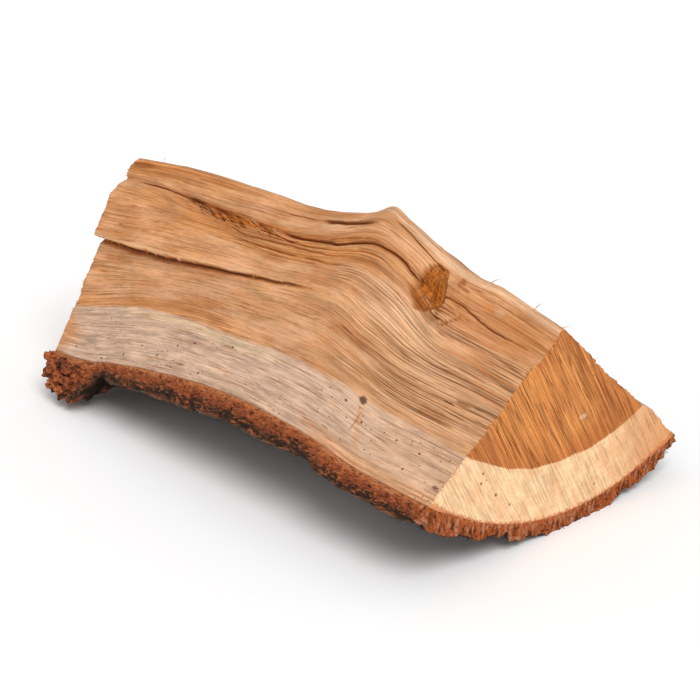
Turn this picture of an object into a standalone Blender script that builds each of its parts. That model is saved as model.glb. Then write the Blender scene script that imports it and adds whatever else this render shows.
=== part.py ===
"""A split firewood log, 33 cm long, lying on its bark.

It is one wedge, riven out of a round about 37 cm across. Seen along the log, the section is a sector:
two torn split faces meet in a blunt ridge on top, and a round back carries the bark below. The wood is
one solid and the bark, which dries loose from it, is the other.

The log lies along X, from its far sawn end at -X to its near sawn end at +X. The wide split face looks
to -Y, the narrower one to +Y, and the bark stands on Z = 0. Lengths are written in millimetres.
"""

import math

import bmesh
import bpy
from mathutils import Vector, noise

MM = 0.001

# The log in its own measure: x from the far end, y across and z up. The origin of the model is under
# the middle of its box, on the ground.
LENGTH = 330.0
LOWEST_Y = -124.4
HIGHEST_Y = 96.4
GROUND = 2.5
ORIGIN = Vector((LENGTH / 2, (LOWEST_Y + HIGHEST_Y) / 2, GROUND))

# Lines that run the length of the log. Each station is (x, y, z).
RIDGE = [
    (0, -13, 129),
    (50, -14, 134),
    (110, -15, 135),
    (150, -16, 135),
    (180, -17, 141),
    (211, -18, 150),
    (235, -19, 144),
    (262, -19, 131),
    (296, -20, 123),
    (330, -21, 114),
]
FRONT_CORNER = [
    (0, -82, 29),
    (28, -85, 32),
    (60, -89, 40),
    (110, -95, 50),
    (170, -102, 57),
    (230, -109, 56),
    (275, -115, 51),
    (330, -121, 50),
]
BACK_CORNER = [
    (0, 86, 31),
    (110, 91, 37),
    (230, 86, 35),
    (330, 76, 27),
]
# The ridge is a narrow strip, rounded along its middle and a little lower at the back.
RIDGE_WIDTH = 7.0
RIDGE_DROP = 1.0
RIDGE_CROWN = 1.2

# Lines on the wide split face, as (x, share of the way from the ridge down to the bark). The face's rows
# follow them, so that its relief runs along the grain and bends round the knot.
CREVICE = [(0, 0.11), (30, 0.12), (62, 0.17), (130, 0.17), (165, 0.15), (238, 0.155), (262, 0.19), (330, 0.16)]
UNDER_KNOT = [(0, 0.26), (175, 0.25), (199, 0.28), (243, 0.32), (274, 0.37), (330, 0.34)]
SLAB_EDGE = [(0, 0.45), (110, 0.43), (165, 0.4), (230, 0.43), (274, 0.47), (330, 0.46)]
HEARTWOOD_EDGE = [(0, 0.76), (35, 0.70), (105, 0.665), (160, 0.68), (211, 0.715), (330, 0.71)]
# The grain number of each of those lines. It is 0 at the ridge and 1 at the bark.
CREVICE_GRAIN = 0.16
UNDER_KNOT_GRAIN = 0.28
SLAB_GRAIN = 0.42
HEARTWOOD_GRAIN = 0.71
GRAIN_LINES = [CREVICE, UNDER_KNOT, SLAB_EDGE, HEARTWOOD_EDGE]
GRAINS = [0.0, CREVICE_GRAIN, UNDER_KNOT_GRAIN, SLAB_GRAIN, HEARTWOOD_GRAIN, 1.0]

# How far from the ridge and from the bark a split face's relief starts, as shares of the face.
FRONT_MARGINS = (0.04, 0.93)
BACK_MARGINS = (0.14, 0.93)

# The torn surface of both split faces: broad waves and narrow streaks, (height, length, width) each.
FACE_WIDTH = 125.0
FRONT_WAVES = (1.6, 95.0, 26.0)
FRONT_STREAKS = (0.8, 60.0, 8.0)
BACK_WAVES = (2.6, 90.0, 24.0)
BACK_STREAKS = (1.4, 55.0, 9.0)

# A slab that the splitting lifted, from the far end to SLAB_END, with an undercut below its lower edge.
SLAB_RISE = 8.0
SLAB_FULL = 20.0
SLAB_END = 188.0
SLAB_TOP = (0.10, 0.24)
SLAB_STEP = 0.007
UNDERCUT_DEPTH = 2.0
UNDERCUT_WIDTH = 0.022

# The crevice under the ridge, wider and more torn about TORN_X, and the plank that stands proud above it.
CREVICE_DEPTH = 7.0
CREVICE_START = (4.0, 40.0)
CREVICE_END = (262.0, 236.0)
CREVICE_WIDTH = 0.022
TORN_X = 98.0
TORN_LENGTH = 52.0
TORN_WIDTH = 0.02
PLANK_RISE = 2.5
PLANK_EDGE = (0.155, 0.12)

# Beads of grain under the crevice, pressed together where they pass the knot.
BEAD_HEIGHT = 1.2
BEAD_STEP = 0.035
BEAD_GRAINS = (0.17, 0.19, 0.27, 0.32)
BEAD_START = (60.0, 110.0)
BEAD_END = (262.0, 235.0)

# The knot: a torn pit, the wood that swells round it on both split faces, and a dip towards the near end.
KNOT_X = 253.0
KNOT_GRAIN = 0.19
KNOT_HALF_LENGTH = 11.0
KNOT_HALF_GRAIN = 0.12
KNOT_DEPTH = 7.5
KNOT_RIM = (1.15, 0.45)
SWELLING = 3.0
SWELLING_GRAIN = 0.24
SWELLING_X = 236.0
SWELLING_LENGTH = 26.0
DIP = 1.8
DIP_START = (258.0, 272.0)

# The narrow split face: a torn step along it, a long groove, and the far side of the knot.
STEP_RISE = 4.5
STEP_X = 215.0
STEP_LENGTH = 110.0
STEP_SHARE = 0.36
STEP_SWAY = 0.05
STEP_WIDTH = 0.02
GROOVE_DEPTH = 5.0
GROOVE_SHARE = 0.62
GROOVE_SWAY = 0.04
GROOVE_WIDTH = 0.04
GROOVE_START = (10.0, 60.0)
GROOVE_END = (250.0, 190.0)
BACK_SWELLING = 4.0
BACK_SWELLING_LENGTH = 46.0
BACK_SWELLING_SHARE = 0.42
BACK_SWELLING_WIDTH = 0.22
SWAY_LENGTH = 60.0

# The round that the log was riven from: the radius under the bark, and the bark's thickness along its
# front edge, under the log and along its back edge.
RING_RADIUS = 187.0
BARK_GAP = 0.4
BARK_FRONT = [(0, 7), (40, 7.5), (100, 8.5), (190, 8.5), (260, 8), (330, 8)]
BARK_BOTTOM = 6.0
BARK_BACK = 9.0
BOTTOM_TURN = 0.35
BACK_TURN = 0.55
BARK_WIDTH = 200.0
# How far the bark is broken back from each corner, or stands past it.
BARK_EDGE_SHIFT = 1.0
BARK_EDGE_WAVE = 1.6
BARK_EDGE_LENGTH = 16.0
# Its plates: swelling, the long furrows between them and the cracks across, (depth, length, width).
PLATES = (2.2, 40.0, 18.0)
FURROWS = (3.2, 58.0, 21.0)
CRACKS = (2.6, 24.0, 60.0)
FURROW_SHARPNESS = 0.2
CRACK_SHARPNESS = 0.1
# The log stands on two thicker places, one near each end.
FOOT_DEPTH = 5.0
FOOT_Y = -12.0
FOOT_HALF_WIDTH = 42.0
FAR_FOOT = (75.0, 45.0)
NEAR_FOOT = (255.0, 290.0)
# A clump of bark hangs on at the far end of the front edge.
CLUMP_DEPTH = 13.0
CLUMP_LENGTH = (46.0, 34.0)
CLUMP_START = (-12.0, 16.0)
CLUMP_TURN = (0.16, 0.03)
CLUMP_LUMPS = (0.6, 9.0, 8.0)

# How finely the solids are cut up.
STATION_STEP = 6.6
FRONT_ROWS = 30
SHARP_GRAINS = [0.128, 0.145, 0.16, 0.175, 0.19, 0.207, 0.225, 0.412, 0.42, 0.432, 0.452]
SHARP_ROOM = 0.012
BACK_ROWS = 34
ARC_ROWS = 14
BARK_ROWS = 34
BARK_STEP = 7.2


def between(stations, x, column=1):
    """A smooth curve through one column of hand-set stations."""
    last = len(stations) - 2
    i = max(k for k in range(last + 1) if k == 0 or stations[k][0] <= x)
    a, b = stations[i], stations[i + 1]
    before, after = stations[max(i - 1, 0)], stations[min(i + 2, last + 1)]
    span = b[0] - a[0]
    u = (x - a[0]) / span
    slope_a = (b[column] - before[column]) / (b[0] - before[0]) * span
    slope_b = (after[column] - a[column]) / (after[0] - a[0]) * span
    fall = a[column] - b[column]
    square = 3 * fall + 2 * slope_a + slope_b
    cube = 2 * fall + slope_a + slope_b
    return a[column] + slope_a * u - square * u**2 + cube * u**3


def line_point(stations, x):
    """The (y, z) of a line along the log."""
    return Vector((between(stations, x, 1), between(stations, x, 2)))


def fade(low, high, value):
    """0 at low, 1 at high, and smooth between them."""
    u = min(1.0, max(0.0, (value - low) / (high - low)))
    return u * u * (3 - 2 * u)


def bump(centre, half_width, value):
    """1 at the centre, falling smoothly to 0 at half_width from it."""
    return fade(half_width, 0.0, abs(value - centre))


def wavy(x, across, length, width, seed):
    """Noise from -1 to 1, in waves of this length along the log and this width across it."""
    return noise.noise(Vector((x / length, across / width, seed)))


def share_of_grain(x, grain):
    """How far down the wide face a grain line lies, from 0 at the ridge to 1 at the bark."""
    shares = [0.0] + [between(line, x) for line in GRAIN_LINES] + [1.0]
    i = max(k for k in range(len(shares) - 1) if k == 0 or GRAINS[k] <= grain)
    u = (grain - GRAINS[i]) / (GRAINS[i + 1] - GRAINS[i])
    return shares[i] + (shares[i + 1] - shares[i]) * u


def torn(x, across, waves, streaks, seed):
    """The height of a torn split face without its larger features."""
    height = waves[0] * wavy(x, across, waves[1], waves[2], seed)
    return height + streaks[0] * wavy(x, across, streaks[1], streaks[2], seed + 1.0)


def slab_relief(x, grain):
    """The lifted slab, thickest at the far end, and the undercut along its lower edge."""
    along = fade(SLAB_END, SLAB_FULL, x)
    slab = SLAB_RISE * fade(SLAB_GRAIN, SLAB_GRAIN - SLAB_STEP, grain) * fade(*SLAB_TOP, grain)
    undercut = UNDERCUT_DEPTH * bump(SLAB_GRAIN + UNDERCUT_WIDTH / 2, UNDERCUT_WIDTH, grain)
    return along * (slab - undercut)


def crevice_relief(x, grain):
    """The crevice, the plank above it and the beads of grain below it."""
    width = CREVICE_WIDTH + TORN_WIDTH * bump(TORN_X, TORN_LENGTH, x)
    along = fade(*CREVICE_START, x) * fade(*CREVICE_END, x)
    height = PLANK_RISE * fade(*PLANK_EDGE, grain) * fade(*CREVICE_END, x)
    height -= CREVICE_DEPTH * along * bump(CREVICE_GRAIN, width, grain)
    low, low_full, high_full, high = BEAD_GRAINS
    beads = fade(low, low_full, grain) * fade(high, high_full, grain)
    beads *= fade(*BEAD_START, x) * fade(*BEAD_END, x)
    return height + BEAD_HEIGHT * beads * math.cos(2 * math.pi * (grain - low_full) / BEAD_STEP)


def knot_relief(x, grain):
    """The torn pit of the knot, the swelling before it and the dip beyond it."""
    reach = math.hypot((x - KNOT_X) / KNOT_HALF_LENGTH, (grain - KNOT_GRAIN) / KNOT_HALF_GRAIN)
    swelling = SWELLING * bump(SWELLING_X, SWELLING_LENGTH, x) * bump(SWELLING_GRAIN, KNOT_HALF_GRAIN, grain)
    dip = DIP * fade(*DIP_START, x) * fade(KNOT_GRAIN, CREVICE_GRAIN, grain)
    return swelling - dip - KNOT_DEPTH * fade(*KNOT_RIM, reach)


def front_relief(x, grain):
    """How far the wide split face stands out from flat."""
    height = torn(x, grain * FACE_WIDTH, FRONT_WAVES, FRONT_STREAKS, 1.0)
    height += slab_relief(x, grain) + crevice_relief(x, grain) + knot_relief(x, grain)
    return height * fade(0.0, FRONT_MARGINS[0], grain) * fade(1.0, FRONT_MARGINS[1], grain)


def back_relief(x, share):
    """How far the narrow split face stands out from flat."""
    height = torn(x, share * FACE_WIDTH, BACK_WAVES, BACK_STREAKS, 5.0)
    step = STEP_SHARE + STEP_SWAY * math.sin(x / SWAY_LENGTH)
    height += STEP_RISE * bump(STEP_X, STEP_LENGTH, x) * fade(step + STEP_WIDTH, step - STEP_WIDTH, share)
    groove = GROOVE_SHARE + GROOVE_SWAY * math.sin(x / SWAY_LENGTH)
    height -= GROOVE_DEPTH * fade(*GROOVE_START, x) * fade(*GROOVE_END, x) * bump(groove, GROOVE_WIDTH, share)
    swelling = BACK_SWELLING * bump(SWELLING_X, BACK_SWELLING_LENGTH, x)
    height += swelling * bump(BACK_SWELLING_SHARE, BACK_SWELLING_WIDTH, share)
    return height * fade(0.0, BACK_MARGINS[0], share) * fade(1.0, BACK_MARGINS[1], share)


def ring_arc(x):
    """The round under the bark: its centre, and the angles of the front corner and the back corner."""
    front, back = line_point(FRONT_CORNER, x), line_point(BACK_CORNER, x)
    chord = back - front
    rise = math.sqrt(RING_RADIUS**2 - chord.length_squared / 4)
    centre = (front + back) / 2 + Vector((-chord.y, chord.x)).normalized() * rise
    start, end = (math.atan2(corner.y - centre.y, corner.x - centre.x) for corner in (front, back))
    return centre, start, end


def outward(angle):
    """The (y, z) direction from the middle of the round at an angle."""
    return Vector((math.cos(angle), math.sin(angle)))


def spread(count, low=0.0, high=1.0):
    """Evenly spaced numbers, both ends included."""
    return [low + (high - low) * i / (count - 1) for i in range(count)]


def front_grains():
    """The wide face's rows as grain numbers: even, and closer at the crevice and the slab's edge."""
    even = [g for g in spread(FRONT_ROWS) if all(abs(g - sharp) > SHARP_ROOM for sharp in SHARP_GRAINS)]
    return sorted(even + SHARP_GRAINS)


def wood_ring(x, grains):
    """The wood's outline at one place along the log, as (y, z) points, once round."""
    ridge, front, back = (line_point(line, x) for line in (RIDGE, FRONT_CORNER, BACK_CORNER))
    top_front = ridge + Vector((-RIDGE_WIDTH / 2, 0.0))
    top_back = ridge + Vector((RIDGE_WIDTH / 2, -RIDGE_DROP))
    down_front, down_back = front - top_front, back - top_back
    out_front = Vector((down_front.y, -down_front.x)).normalized()
    out_back = Vector((-down_back.y, down_back.x)).normalized()
    points = [top_front + down_front * share_of_grain(x, g) + out_front * front_relief(x, g) for g in grains]
    centre, start, end = ring_arc(x)
    points += [centre + outward(angle) * RING_RADIUS for angle in spread(ARC_ROWS, start, end)[1:-1]]
    points += [top_back + down_back * s + out_back * back_relief(x, s) for s in spread(BACK_ROWS, 1.0, 0.0)]
    points.append(ridge + Vector((0.0, RIDGE_CROWN)))
    return points


def bark_thickness(x, turn, y):
    """How thick the bark is: turn runs from 0 at the front corner, under the log, to 1 at the back corner."""
    around = turn * BARK_WIDTH
    front = between(BARK_FRONT, x)
    thick = front + (BARK_BOTTOM - front) * fade(0.0, BOTTOM_TURN, turn)
    thick += (BARK_BACK - BARK_BOTTOM) * fade(BACK_TURN, 1.0, turn)
    thick += PLATES[0] * wavy(x, around, PLATES[1], PLATES[2], 13.0)
    furrow = FURROWS[0] * fade(FURROW_SHARPNESS, 0.0, abs(wavy(x, around, FURROWS[1], FURROWS[2], 11.0)))
    crack = CRACKS[0] * fade(CRACK_SHARPNESS, 0.0, abs(wavy(x, around, CRACKS[1], CRACKS[2], 12.0)))
    thick -= max(furrow, crack)
    thick += FOOT_DEPTH * bump(FOOT_Y, FOOT_HALF_WIDTH, y) * (fade(*FAR_FOOT, x) + fade(*NEAR_FOOT, x))
    clump = CLUMP_DEPTH * fade(*CLUMP_START, x) * fade(*CLUMP_LENGTH, x) * fade(*CLUMP_TURN, turn)
    return thick + clump * (1.0 + CLUMP_LUMPS[0] * wavy(x, around, CLUMP_LUMPS[1], CLUMP_LUMPS[2], 14.0))


def bark_section(x):
    """The bark's inner and outer (y, z) points at one place along the log, from front edge to back edge."""
    centre, start, end = ring_arc(x)
    start -= (BARK_EDGE_SHIFT + BARK_EDGE_WAVE * wavy(x, 0.0, BARK_EDGE_LENGTH, 1.0, 15.0)) / RING_RADIUS
    end += (BARK_EDGE_SHIFT + BARK_EDGE_WAVE * wavy(x, 0.0, BARK_EDGE_LENGTH, 1.0, 16.0)) / RING_RADIUS
    inner, outer = [], []
    for turn in spread(BARK_ROWS):
        out = outward(start + (end - start) * turn)
        inner.append(centre + out * (RING_RADIUS + BARK_GAP))
        point = inner[-1] + out * bark_thickness(x, turn, inner[-1].x)
        # The log has pressed the bark flat on the ground, and knocks have worn off what stood out furthest.
        outer.append(Vector((min(max(point.x, LOWEST_Y), HIGHEST_Y), max(point.y, GROUND))))
    return inner, outer


def loft(name, xs, rings, material):
    """One closed solid through outlines that stand at xs along the log, flat at both ends."""
    bm = bmesh.new()
    rows = []
    for x, ring in zip(xs, rings):
        rows.append([bm.verts.new((Vector((x, p.x, p.y)) - ORIGIN) * MM) for p in ring])
    count = len(rows[0])
    for one, other in zip(rows, rows[1:]):
        for j in range(count):
            k = (j + 1) % count
            bm.faces.new((one[j], one[k], other[k], other[j]))
    bm.faces.new(reversed(rows[0]))
    bm.faces.new(rows[-1])
    bmesh.ops.recalc_face_normals(bm, faces=bm.faces[:])
    mesh = bpy.data.meshes.new(name)
    bm.to_mesh(mesh)
    bm.free()
    mesh.shade_smooth()
    mesh.set_sharp_from_angle(angle=math.radians(35))
    mesh.materials.append(material)
    made = bpy.data.objects.new(name, mesh)
    bpy.context.scene.collection.objects.link(made)
    return made


def finish(name, colour, roughness):
    """A plain material with the part's own colour."""
    material = bpy.data.materials.new(name)
    material.use_nodes = True
    shader = material.node_tree.nodes["Principled BSDF"]
    shader.inputs["Base Color"].default_value = (*colour, 1.0)
    shader.inputs["Roughness"].default_value = roughness
    shader.inputs["Metallic"].default_value = 0.0
    return material


def make_wood():
    """The riven wedge itself, heartwood and sapwood in one piece."""
    xs = spread(1 + round(LENGTH / STATION_STEP), 0.0, LENGTH)
    grains = front_grains()
    return loft("wood", xs, [wood_ring(x, grains) for x in xs], finish("wood", (0.56, 0.36, 0.20), 0.8))


def make_bark():
    """The sheet of bark under the wood."""
    xs = spread(1 + round(LENGTH / BARK_STEP), 0.0, LENGTH)
    rings = []
    for x in xs:
        inner, outer = bark_section(x)
        rings.append(outer + inner[::-1])
    return loft("bark", xs, rings, finish("bark", (0.17, 0.10, 0.06), 0.95))


for leftover in list(bpy.data.objects):
    bpy.data.objects.remove(leftover)
make_wood()
make_bark()
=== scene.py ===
# %% [markdown]
# # Dressing a split log
# The solids of this log are already made: a wedge of wood and a curved sheet of bark. They have the right
# size and the main forms, but they are coarse. This lesson lays a finer mesh over each of them, adds the
# loose splinters and crumbs, and gives every surface a material made of nodes.
#
# The first step loads the two solids. They stay where they are, and everything else is made around them.

# %% Load the solids
import math

import bmesh
import bpy
import numpy as np
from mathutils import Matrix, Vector, noise
from mathutils.geometry import delaunay_2d_cdt


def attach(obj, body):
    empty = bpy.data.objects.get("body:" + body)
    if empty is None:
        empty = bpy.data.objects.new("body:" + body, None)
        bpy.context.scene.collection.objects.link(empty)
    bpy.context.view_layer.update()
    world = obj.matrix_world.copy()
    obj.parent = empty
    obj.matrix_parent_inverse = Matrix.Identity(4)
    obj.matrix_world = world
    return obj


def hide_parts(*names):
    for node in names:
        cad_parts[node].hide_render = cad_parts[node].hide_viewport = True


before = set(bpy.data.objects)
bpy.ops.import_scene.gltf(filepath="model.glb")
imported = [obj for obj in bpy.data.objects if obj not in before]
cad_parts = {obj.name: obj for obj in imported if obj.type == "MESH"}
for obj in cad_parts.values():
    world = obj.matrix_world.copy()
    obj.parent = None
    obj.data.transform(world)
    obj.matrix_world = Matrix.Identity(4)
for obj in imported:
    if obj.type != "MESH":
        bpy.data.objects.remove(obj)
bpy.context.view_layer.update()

MM = 0.001

# %% [markdown]
# ## The log in its own measure
# A riven log has no edges to measure from, so it is described by lines that run along it: the ridge, and
# the two corners where the split faces meet the bark. x runs from the far end, y across and z up, all in
# millimetres. The solids were made from these same lines. Only the hump is sharper here: the ridge beside
# it is trimmed by up to 5 mm, less and less down the faces.
#
# On the wide face a place is a share of the way from the ridge (0) down to the bark (1). The grain bends
# round the knot, so some grain lines are given too, each with its own grain number. A mesh row that keeps
# its grain number follows the grain, and so does every ripple and streak laid along it.

# %% Lines along the log
LENGTH = 330.0
LOWEST_Y, HIGHEST_Y = -124.4, 96.4
GROUND = 2.5
ORIGIN = np.array([LENGTH / 2, (LOWEST_Y + HIGHEST_Y) / 2, GROUND])
RIDGE = [
    (0, -13, 129), (50, -14, 134), (110, -15, 135), (150, -16, 135), (180, -17, 141), (211, -18, 150),
    (235, -19, 144), (262, -19, 131), (296, -20, 123), (330, -21, 114),
]
FRONT_CORNER = [
    (0, -82, 29), (28, -85, 32), (60, -89, 40), (110, -95, 50), (170, -102, 57), (230, -109, 56),
    (275, -115, 51), (330, -121, 50),
]
BACK_CORNER = [(0, 86, 31), (110, 91, 37), (230, 86, 35), (330, 76, 27)]
GRAIN_LINES = [
    [(0, 0.11), (30, 0.12), (62, 0.17), (130, 0.17), (165, 0.15), (238, 0.155), (262, 0.19), (330, 0.16)],
    [
        (0, 0.26), (175, 0.262), (199, 0.281), (220, 0.289), (243, 0.300), (262, 0.332), (280, 0.350),
        (330, 0.335),
    ],
    [
        (0, 0.45), (110, 0.43), (165, 0.410), (194, 0.437), (217, 0.477), (235, 0.495), (275, 0.480),
        (330, 0.446),
    ],
    [(0, 0.76), (35, 0.70), (105, 0.665), (160, 0.68), (211, 0.715), (330, 0.71)],
]
GRAINS = [0.0, 0.16, 0.28, 0.42, 0.71, 1.0]
HUMP_TRIM = [
    (150, 0), (180, -1.2), (196, -2), (209, 0.4), (217, -2.8), (228, -4.2), (244, -5), (262, -3), (286, 0),
]
HUMP_REACH = (0.10, 0.70)
RIDGE_WIDTH = 7.0
RIDGE_DROP = 1.0
RIDGE_CROWN = 1.2
RING_RADIUS = 187.0
FACE_WIDTH = 125.0


def between(stations, x, column=1):
    """A smooth curve through one column of given stations, for many x at once."""
    table = np.array(stations, float)
    xs, ys = table[:, 0], table[:, column]
    x = np.clip(x, xs[0], xs[-1])
    i = np.clip(np.searchsorted(xs, x, side="right") - 1, 0, len(xs) - 2)
    before, after = np.maximum(i - 1, 0), np.minimum(i + 2, len(xs) - 1)
    span = xs[i + 1] - xs[i]
    u = (x - xs[i]) / span
    slope_a = (ys[i + 1] - ys[before]) / (xs[i + 1] - xs[before]) * span
    slope_b = (ys[after] - ys[i]) / (xs[after] - xs[i]) * span
    fall = ys[i] - ys[i + 1]
    square = 3 * fall + 2 * slope_a + slope_b
    cube = 2 * fall + slope_a + slope_b
    return ys[i] + slope_a * u - square * u**2 + cube * u**3


def fade(low, high, value):
    """0 at low, 1 at high, and smooth between them."""
    u = np.clip((value - low) / (high - low), 0.0, 1.0)
    return u * u * (3 - 2 * u)


def bump(centre, half_width, value):
    """1 at the centre, falling smoothly to 0 at half_width from it."""
    return fade(half_width, 0.0, np.abs(value - centre))


def stretch(value, start, full, full_end, end):
    """1 from full to full_end, falling smoothly to 0 at start and at end."""
    return fade(start, full, value) * fade(end, full_end, value)


def share_of_grain(x, grain):
    """How far down the wide face a grain line lies, from 0 at the ridge to 1 at the bark."""
    shares = [np.zeros_like(x)] + [between(line, x) for line in GRAIN_LINES] + [np.ones_like(x)]
    share = np.zeros(np.broadcast(x, grain).shape)
    for k in range(len(GRAINS) - 1):
        u = np.clip((grain - GRAINS[k]) / (GRAINS[k + 1] - GRAINS[k]), 0.0, 1.0)
        share += (shares[k + 1] - shares[k]) * u
    return share


def unit(v):
    """Vectors of length 1 along the last axis."""
    return v / np.linalg.norm(v, axis=-1, keepdims=True)


def section(x):
    """The flat outline of the wood at each x: tops, ways down and out of both faces, and the round below."""
    x = np.asarray(x, float)
    lines = (RIDGE, FRONT_CORNER, BACK_CORNER)
    ridge, front, back = (np.stack([between(line, x, 1), between(line, x, 2)], axis=-1) for line in lines)
    top_front = ridge + [-RIDGE_WIDTH / 2, 0.0]
    top_back = ridge + [RIDGE_WIDTH / 2, -RIDGE_DROP]
    down_front, down_back = front - top_front, back - top_back
    chord = back - front
    rise = np.sqrt(RING_RADIUS**2 - (chord**2).sum(-1, keepdims=True) / 4)
    centre = (front + back) / 2 + unit(np.stack([-chord[..., 1], chord[..., 0]], -1)) * rise
    start, end = (np.arctan2(*(corner - centre)[..., ::-1].T).T for corner in (front, back))
    return {
        "top_front": top_front,
        "down_front": down_front,
        "out_front": unit(np.stack([down_front[..., 1], -down_front[..., 0]], -1)),
        "top_back": top_back,
        "down_back": down_back,
        "out_back": unit(np.stack([-down_back[..., 1], down_back[..., 0]], -1)),
        "centre": centre,
        "start": start,
        "end": end,
    }


middle_width = np.linalg.norm(section([[LENGTH / 2]])["down_front"])
print("wide face", round(float(middle_width), 1), "mm from ridge to bark at mid-length")

# %% [markdown]
# ## Two kinds of noise
# Riven wood is rough in a special way: the fibres run along the log, so every ripple is long one way and
# narrow the other. Stretched noise gives that. Blender's own noise, called point by point, repeats the
# broad waves of the solids. The fine ripples need millions of samples, so they come from a gradient noise
# written in plain numpy, which works on whole arrays at once and gives the same numbers on every run.

# %% Noise along the grain
PRIMES = (374761393, 668265263, 2246822519, 1274126177)
WORD = 0xFFFFFFFF


def wavy(x, across, length, width, seed):
    """The broad waves of the solids, from -1 to 1."""
    x, across = np.broadcast_arrays(x, across)
    spots = zip((x / length).ravel(), (across / width).ravel())
    return np.array([noise.noise((a, b, seed)) for a, b in spots]).reshape(x.shape)


def grit(x, across, length, width, seed):
    """Gradient noise from about -1 to 1, in waves of this length along the log and this width across it."""
    u, v = np.broadcast_arrays(x / length + 13.7 * seed, across / width + 7.3 * seed)
    i, j = np.floor(u).astype(np.int64), np.floor(v).astype(np.int64)
    fu, fv = u - i, v - j
    su, sv = (f * f * f * (f * (f * 6 - 15) + 10) for f in (fu, fv))

    def slope(di, dj):
        word = ((i + di) * PRIMES[0] + (j + dj) * PRIMES[1] + int(seed * 10) * PRIMES[2]) & WORD
        word = ((word ^ (word >> 13)) * PRIMES[3]) & WORD
        angle = (word ^ (word >> 16)) * (2 * math.pi / WORD)
        return np.cos(angle) * (fu - di) + np.sin(angle) * (fv - dj)

    low = slope(0, 0) + (slope(1, 0) - slope(0, 0)) * su
    high = slope(0, 1) + (slope(1, 1) - slope(0, 1)) * su
    return 1.5 * (low + (high - low) * sv)


def octaves(x, across, waves, seed):
    """Several noises added up, each given as (height, length, width)."""
    return sum(wave[0] * grit(x, across, *wave[1:], seed + k) for k, wave in enumerate(waves))


def spaced(count, need):
    """count numbers from 0 to 1, closer together where need() is higher."""
    even = np.linspace(0.0, 1.0, 4001)
    total = np.concatenate([[0.0], np.cumsum(need((even[1:] + even[:-1]) / 2))])
    return np.interp(np.linspace(0.0, total[-1], count), total, even)


sample_x = np.arange(0.0, LENGTH, 1.5)[:, None]
sample_across = np.arange(0.0, FACE_WIDTH, 0.7)[None, :]
sample = grit(sample_x, sample_across, 40.0, 3.0, 1.0)
print("fine noise runs from", round(float(sample.min()), 2), "to", round(float(sample.max()), 2))

# %% [markdown]
# ## The torn surface
# When a log splits, the wood parts along its fibres. That leaves four marks: soft ripples, thin layers
# that end in sharp little steps, long open grooves, and a faint ribbing where each year's ring comes to
# the surface. Each has a function here, which takes places along and across the grain and gives a height
# in millimetres. The steps come from rounding a stretched noise down to whole layers and taking the noise
# itself away again, so the layers rise gently and drop suddenly, as torn layers do.

# %% Ripples, layers, grooves and ribs
RIPPLES = [(0.30, 110.0, 5.2), (0.26, 85.0, 2.9), (0.17, 60.0, 1.9)]
SWAYS = [(1.6, 110.0, 30.0), (0.48, 34.0, 11.0)]
LAYERS = [(2.4, 130.0, 12.0), (1.0, 60.0, 5.0)]
LAYER_STEP = (0.28, 0.72)
RIB_SPACING = 2.7
RIB_SWAYS = [(1.6, 160.0, 14.0)]


def swayed(x, across, seed):
    """Places across the grain, pushed to and fro so that streaks wander."""
    return across + octaves(x, across, SWAYS, seed)


def stepped(level, step):
    """Whole layers with a step between them, less the level that they came from."""
    whole = np.floor(level)
    return whole + fade(*step, level - whole) - level


def layers(x, across, seed):
    return stepped(octaves(x, across, LAYERS, seed), LAYER_STEP)


def grooves(x, across, length, width, sharpness, seed):
    """A mask of thin open lines along the grain, broken into shorter lengths."""
    line = fade(sharpness, 0.0, np.abs(grit(x, across, length, width, seed)))
    return line * fade(-0.4, 0.1, grit(x, across, 0.5 * length, 2.5 * width, seed + 1))


def ribs(x, across, seed):
    return np.cos(2 * np.pi / RIB_SPACING * (across + octaves(x, across, RIB_SWAYS, seed)))


def span(values):
    return f"{values.min():.2f} to {values.max():.2f} mm"


print("ripples", span(octaves(sample_x, sample_across, RIPPLES, 2.0)))
print("layers", span(layers(sample_x, sample_across, 6.0)))

# %% [markdown]
# ## Cracks on the wide face
# The face in front is full of cracks, and each one follows a line of its own: under the plank beside the
# ridge, between the pressed ribs of grain, beside the ridge's roll, and beyond the knot. A crack is a line
# given as shares of the face, a seed for the way its edge strays, the places where it starts and ends,
# and three sizes in millimetres: half its width, its depth, and its tuck.
#
# A height alone can't overhang. The tuck slides the rows just under the lip up behind it, along the face.
# That makes a real hollow, and the light does the rest.

# %% Lines of the cracks
LIP = [
    (0, 0.085), (18, 0.095), (42, 0.109), (58, 0.122), (80, 0.128), (100, 0.137), (122, 0.136), (150, 0.140),
    (174, 0.146), (186, 0.154), (198, 0.149), (215, 0.147), (226, 0.142), (233, 0.144), (238, 0.158),
    (248, 0.172),
]
TORN_FOOT = [(56, 0.128), (70, 0.160), (85, 0.186), (100, 0.184), (122, 0.168), (150, 0.172), (165, 0.180)]
UPPER_RIB = [(99, 0.196), (116, 0.222), (127, 0.212), (138, 0.207), (150, 0.198), (168, 0.209), (200, 0.223)]
LOWER_RIB = [(110, 0.255), (129, 0.247), (152, 0.242), (164, 0.245), (175, 0.250), (193, 0.266), (206, 0.276)]
INNER_RIB = [(120, 0.190), (140, 0.180), (160, 0.182), (184, 0.192), (204, 0.200), (222, 0.196), (236, 0.206)]
OUTER_RIB = [(90, 0.275), (112, 0.281), (140, 0.268), (166, 0.270), (188, 0.284)]
RIDGE_FOLD = [(212, 0.003), (226, 0.010), (235, 0.022), (242, 0.028), (251, 0.032)]
RIDGE_CHIP = [(165, 0.036), (180, 0.035), (192, 0.043), (203, 0.048), (210, 0.037)]
RIDGE_SLIT = [(136, 0.054), (147, 0.046), (160, 0.044)]
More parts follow.
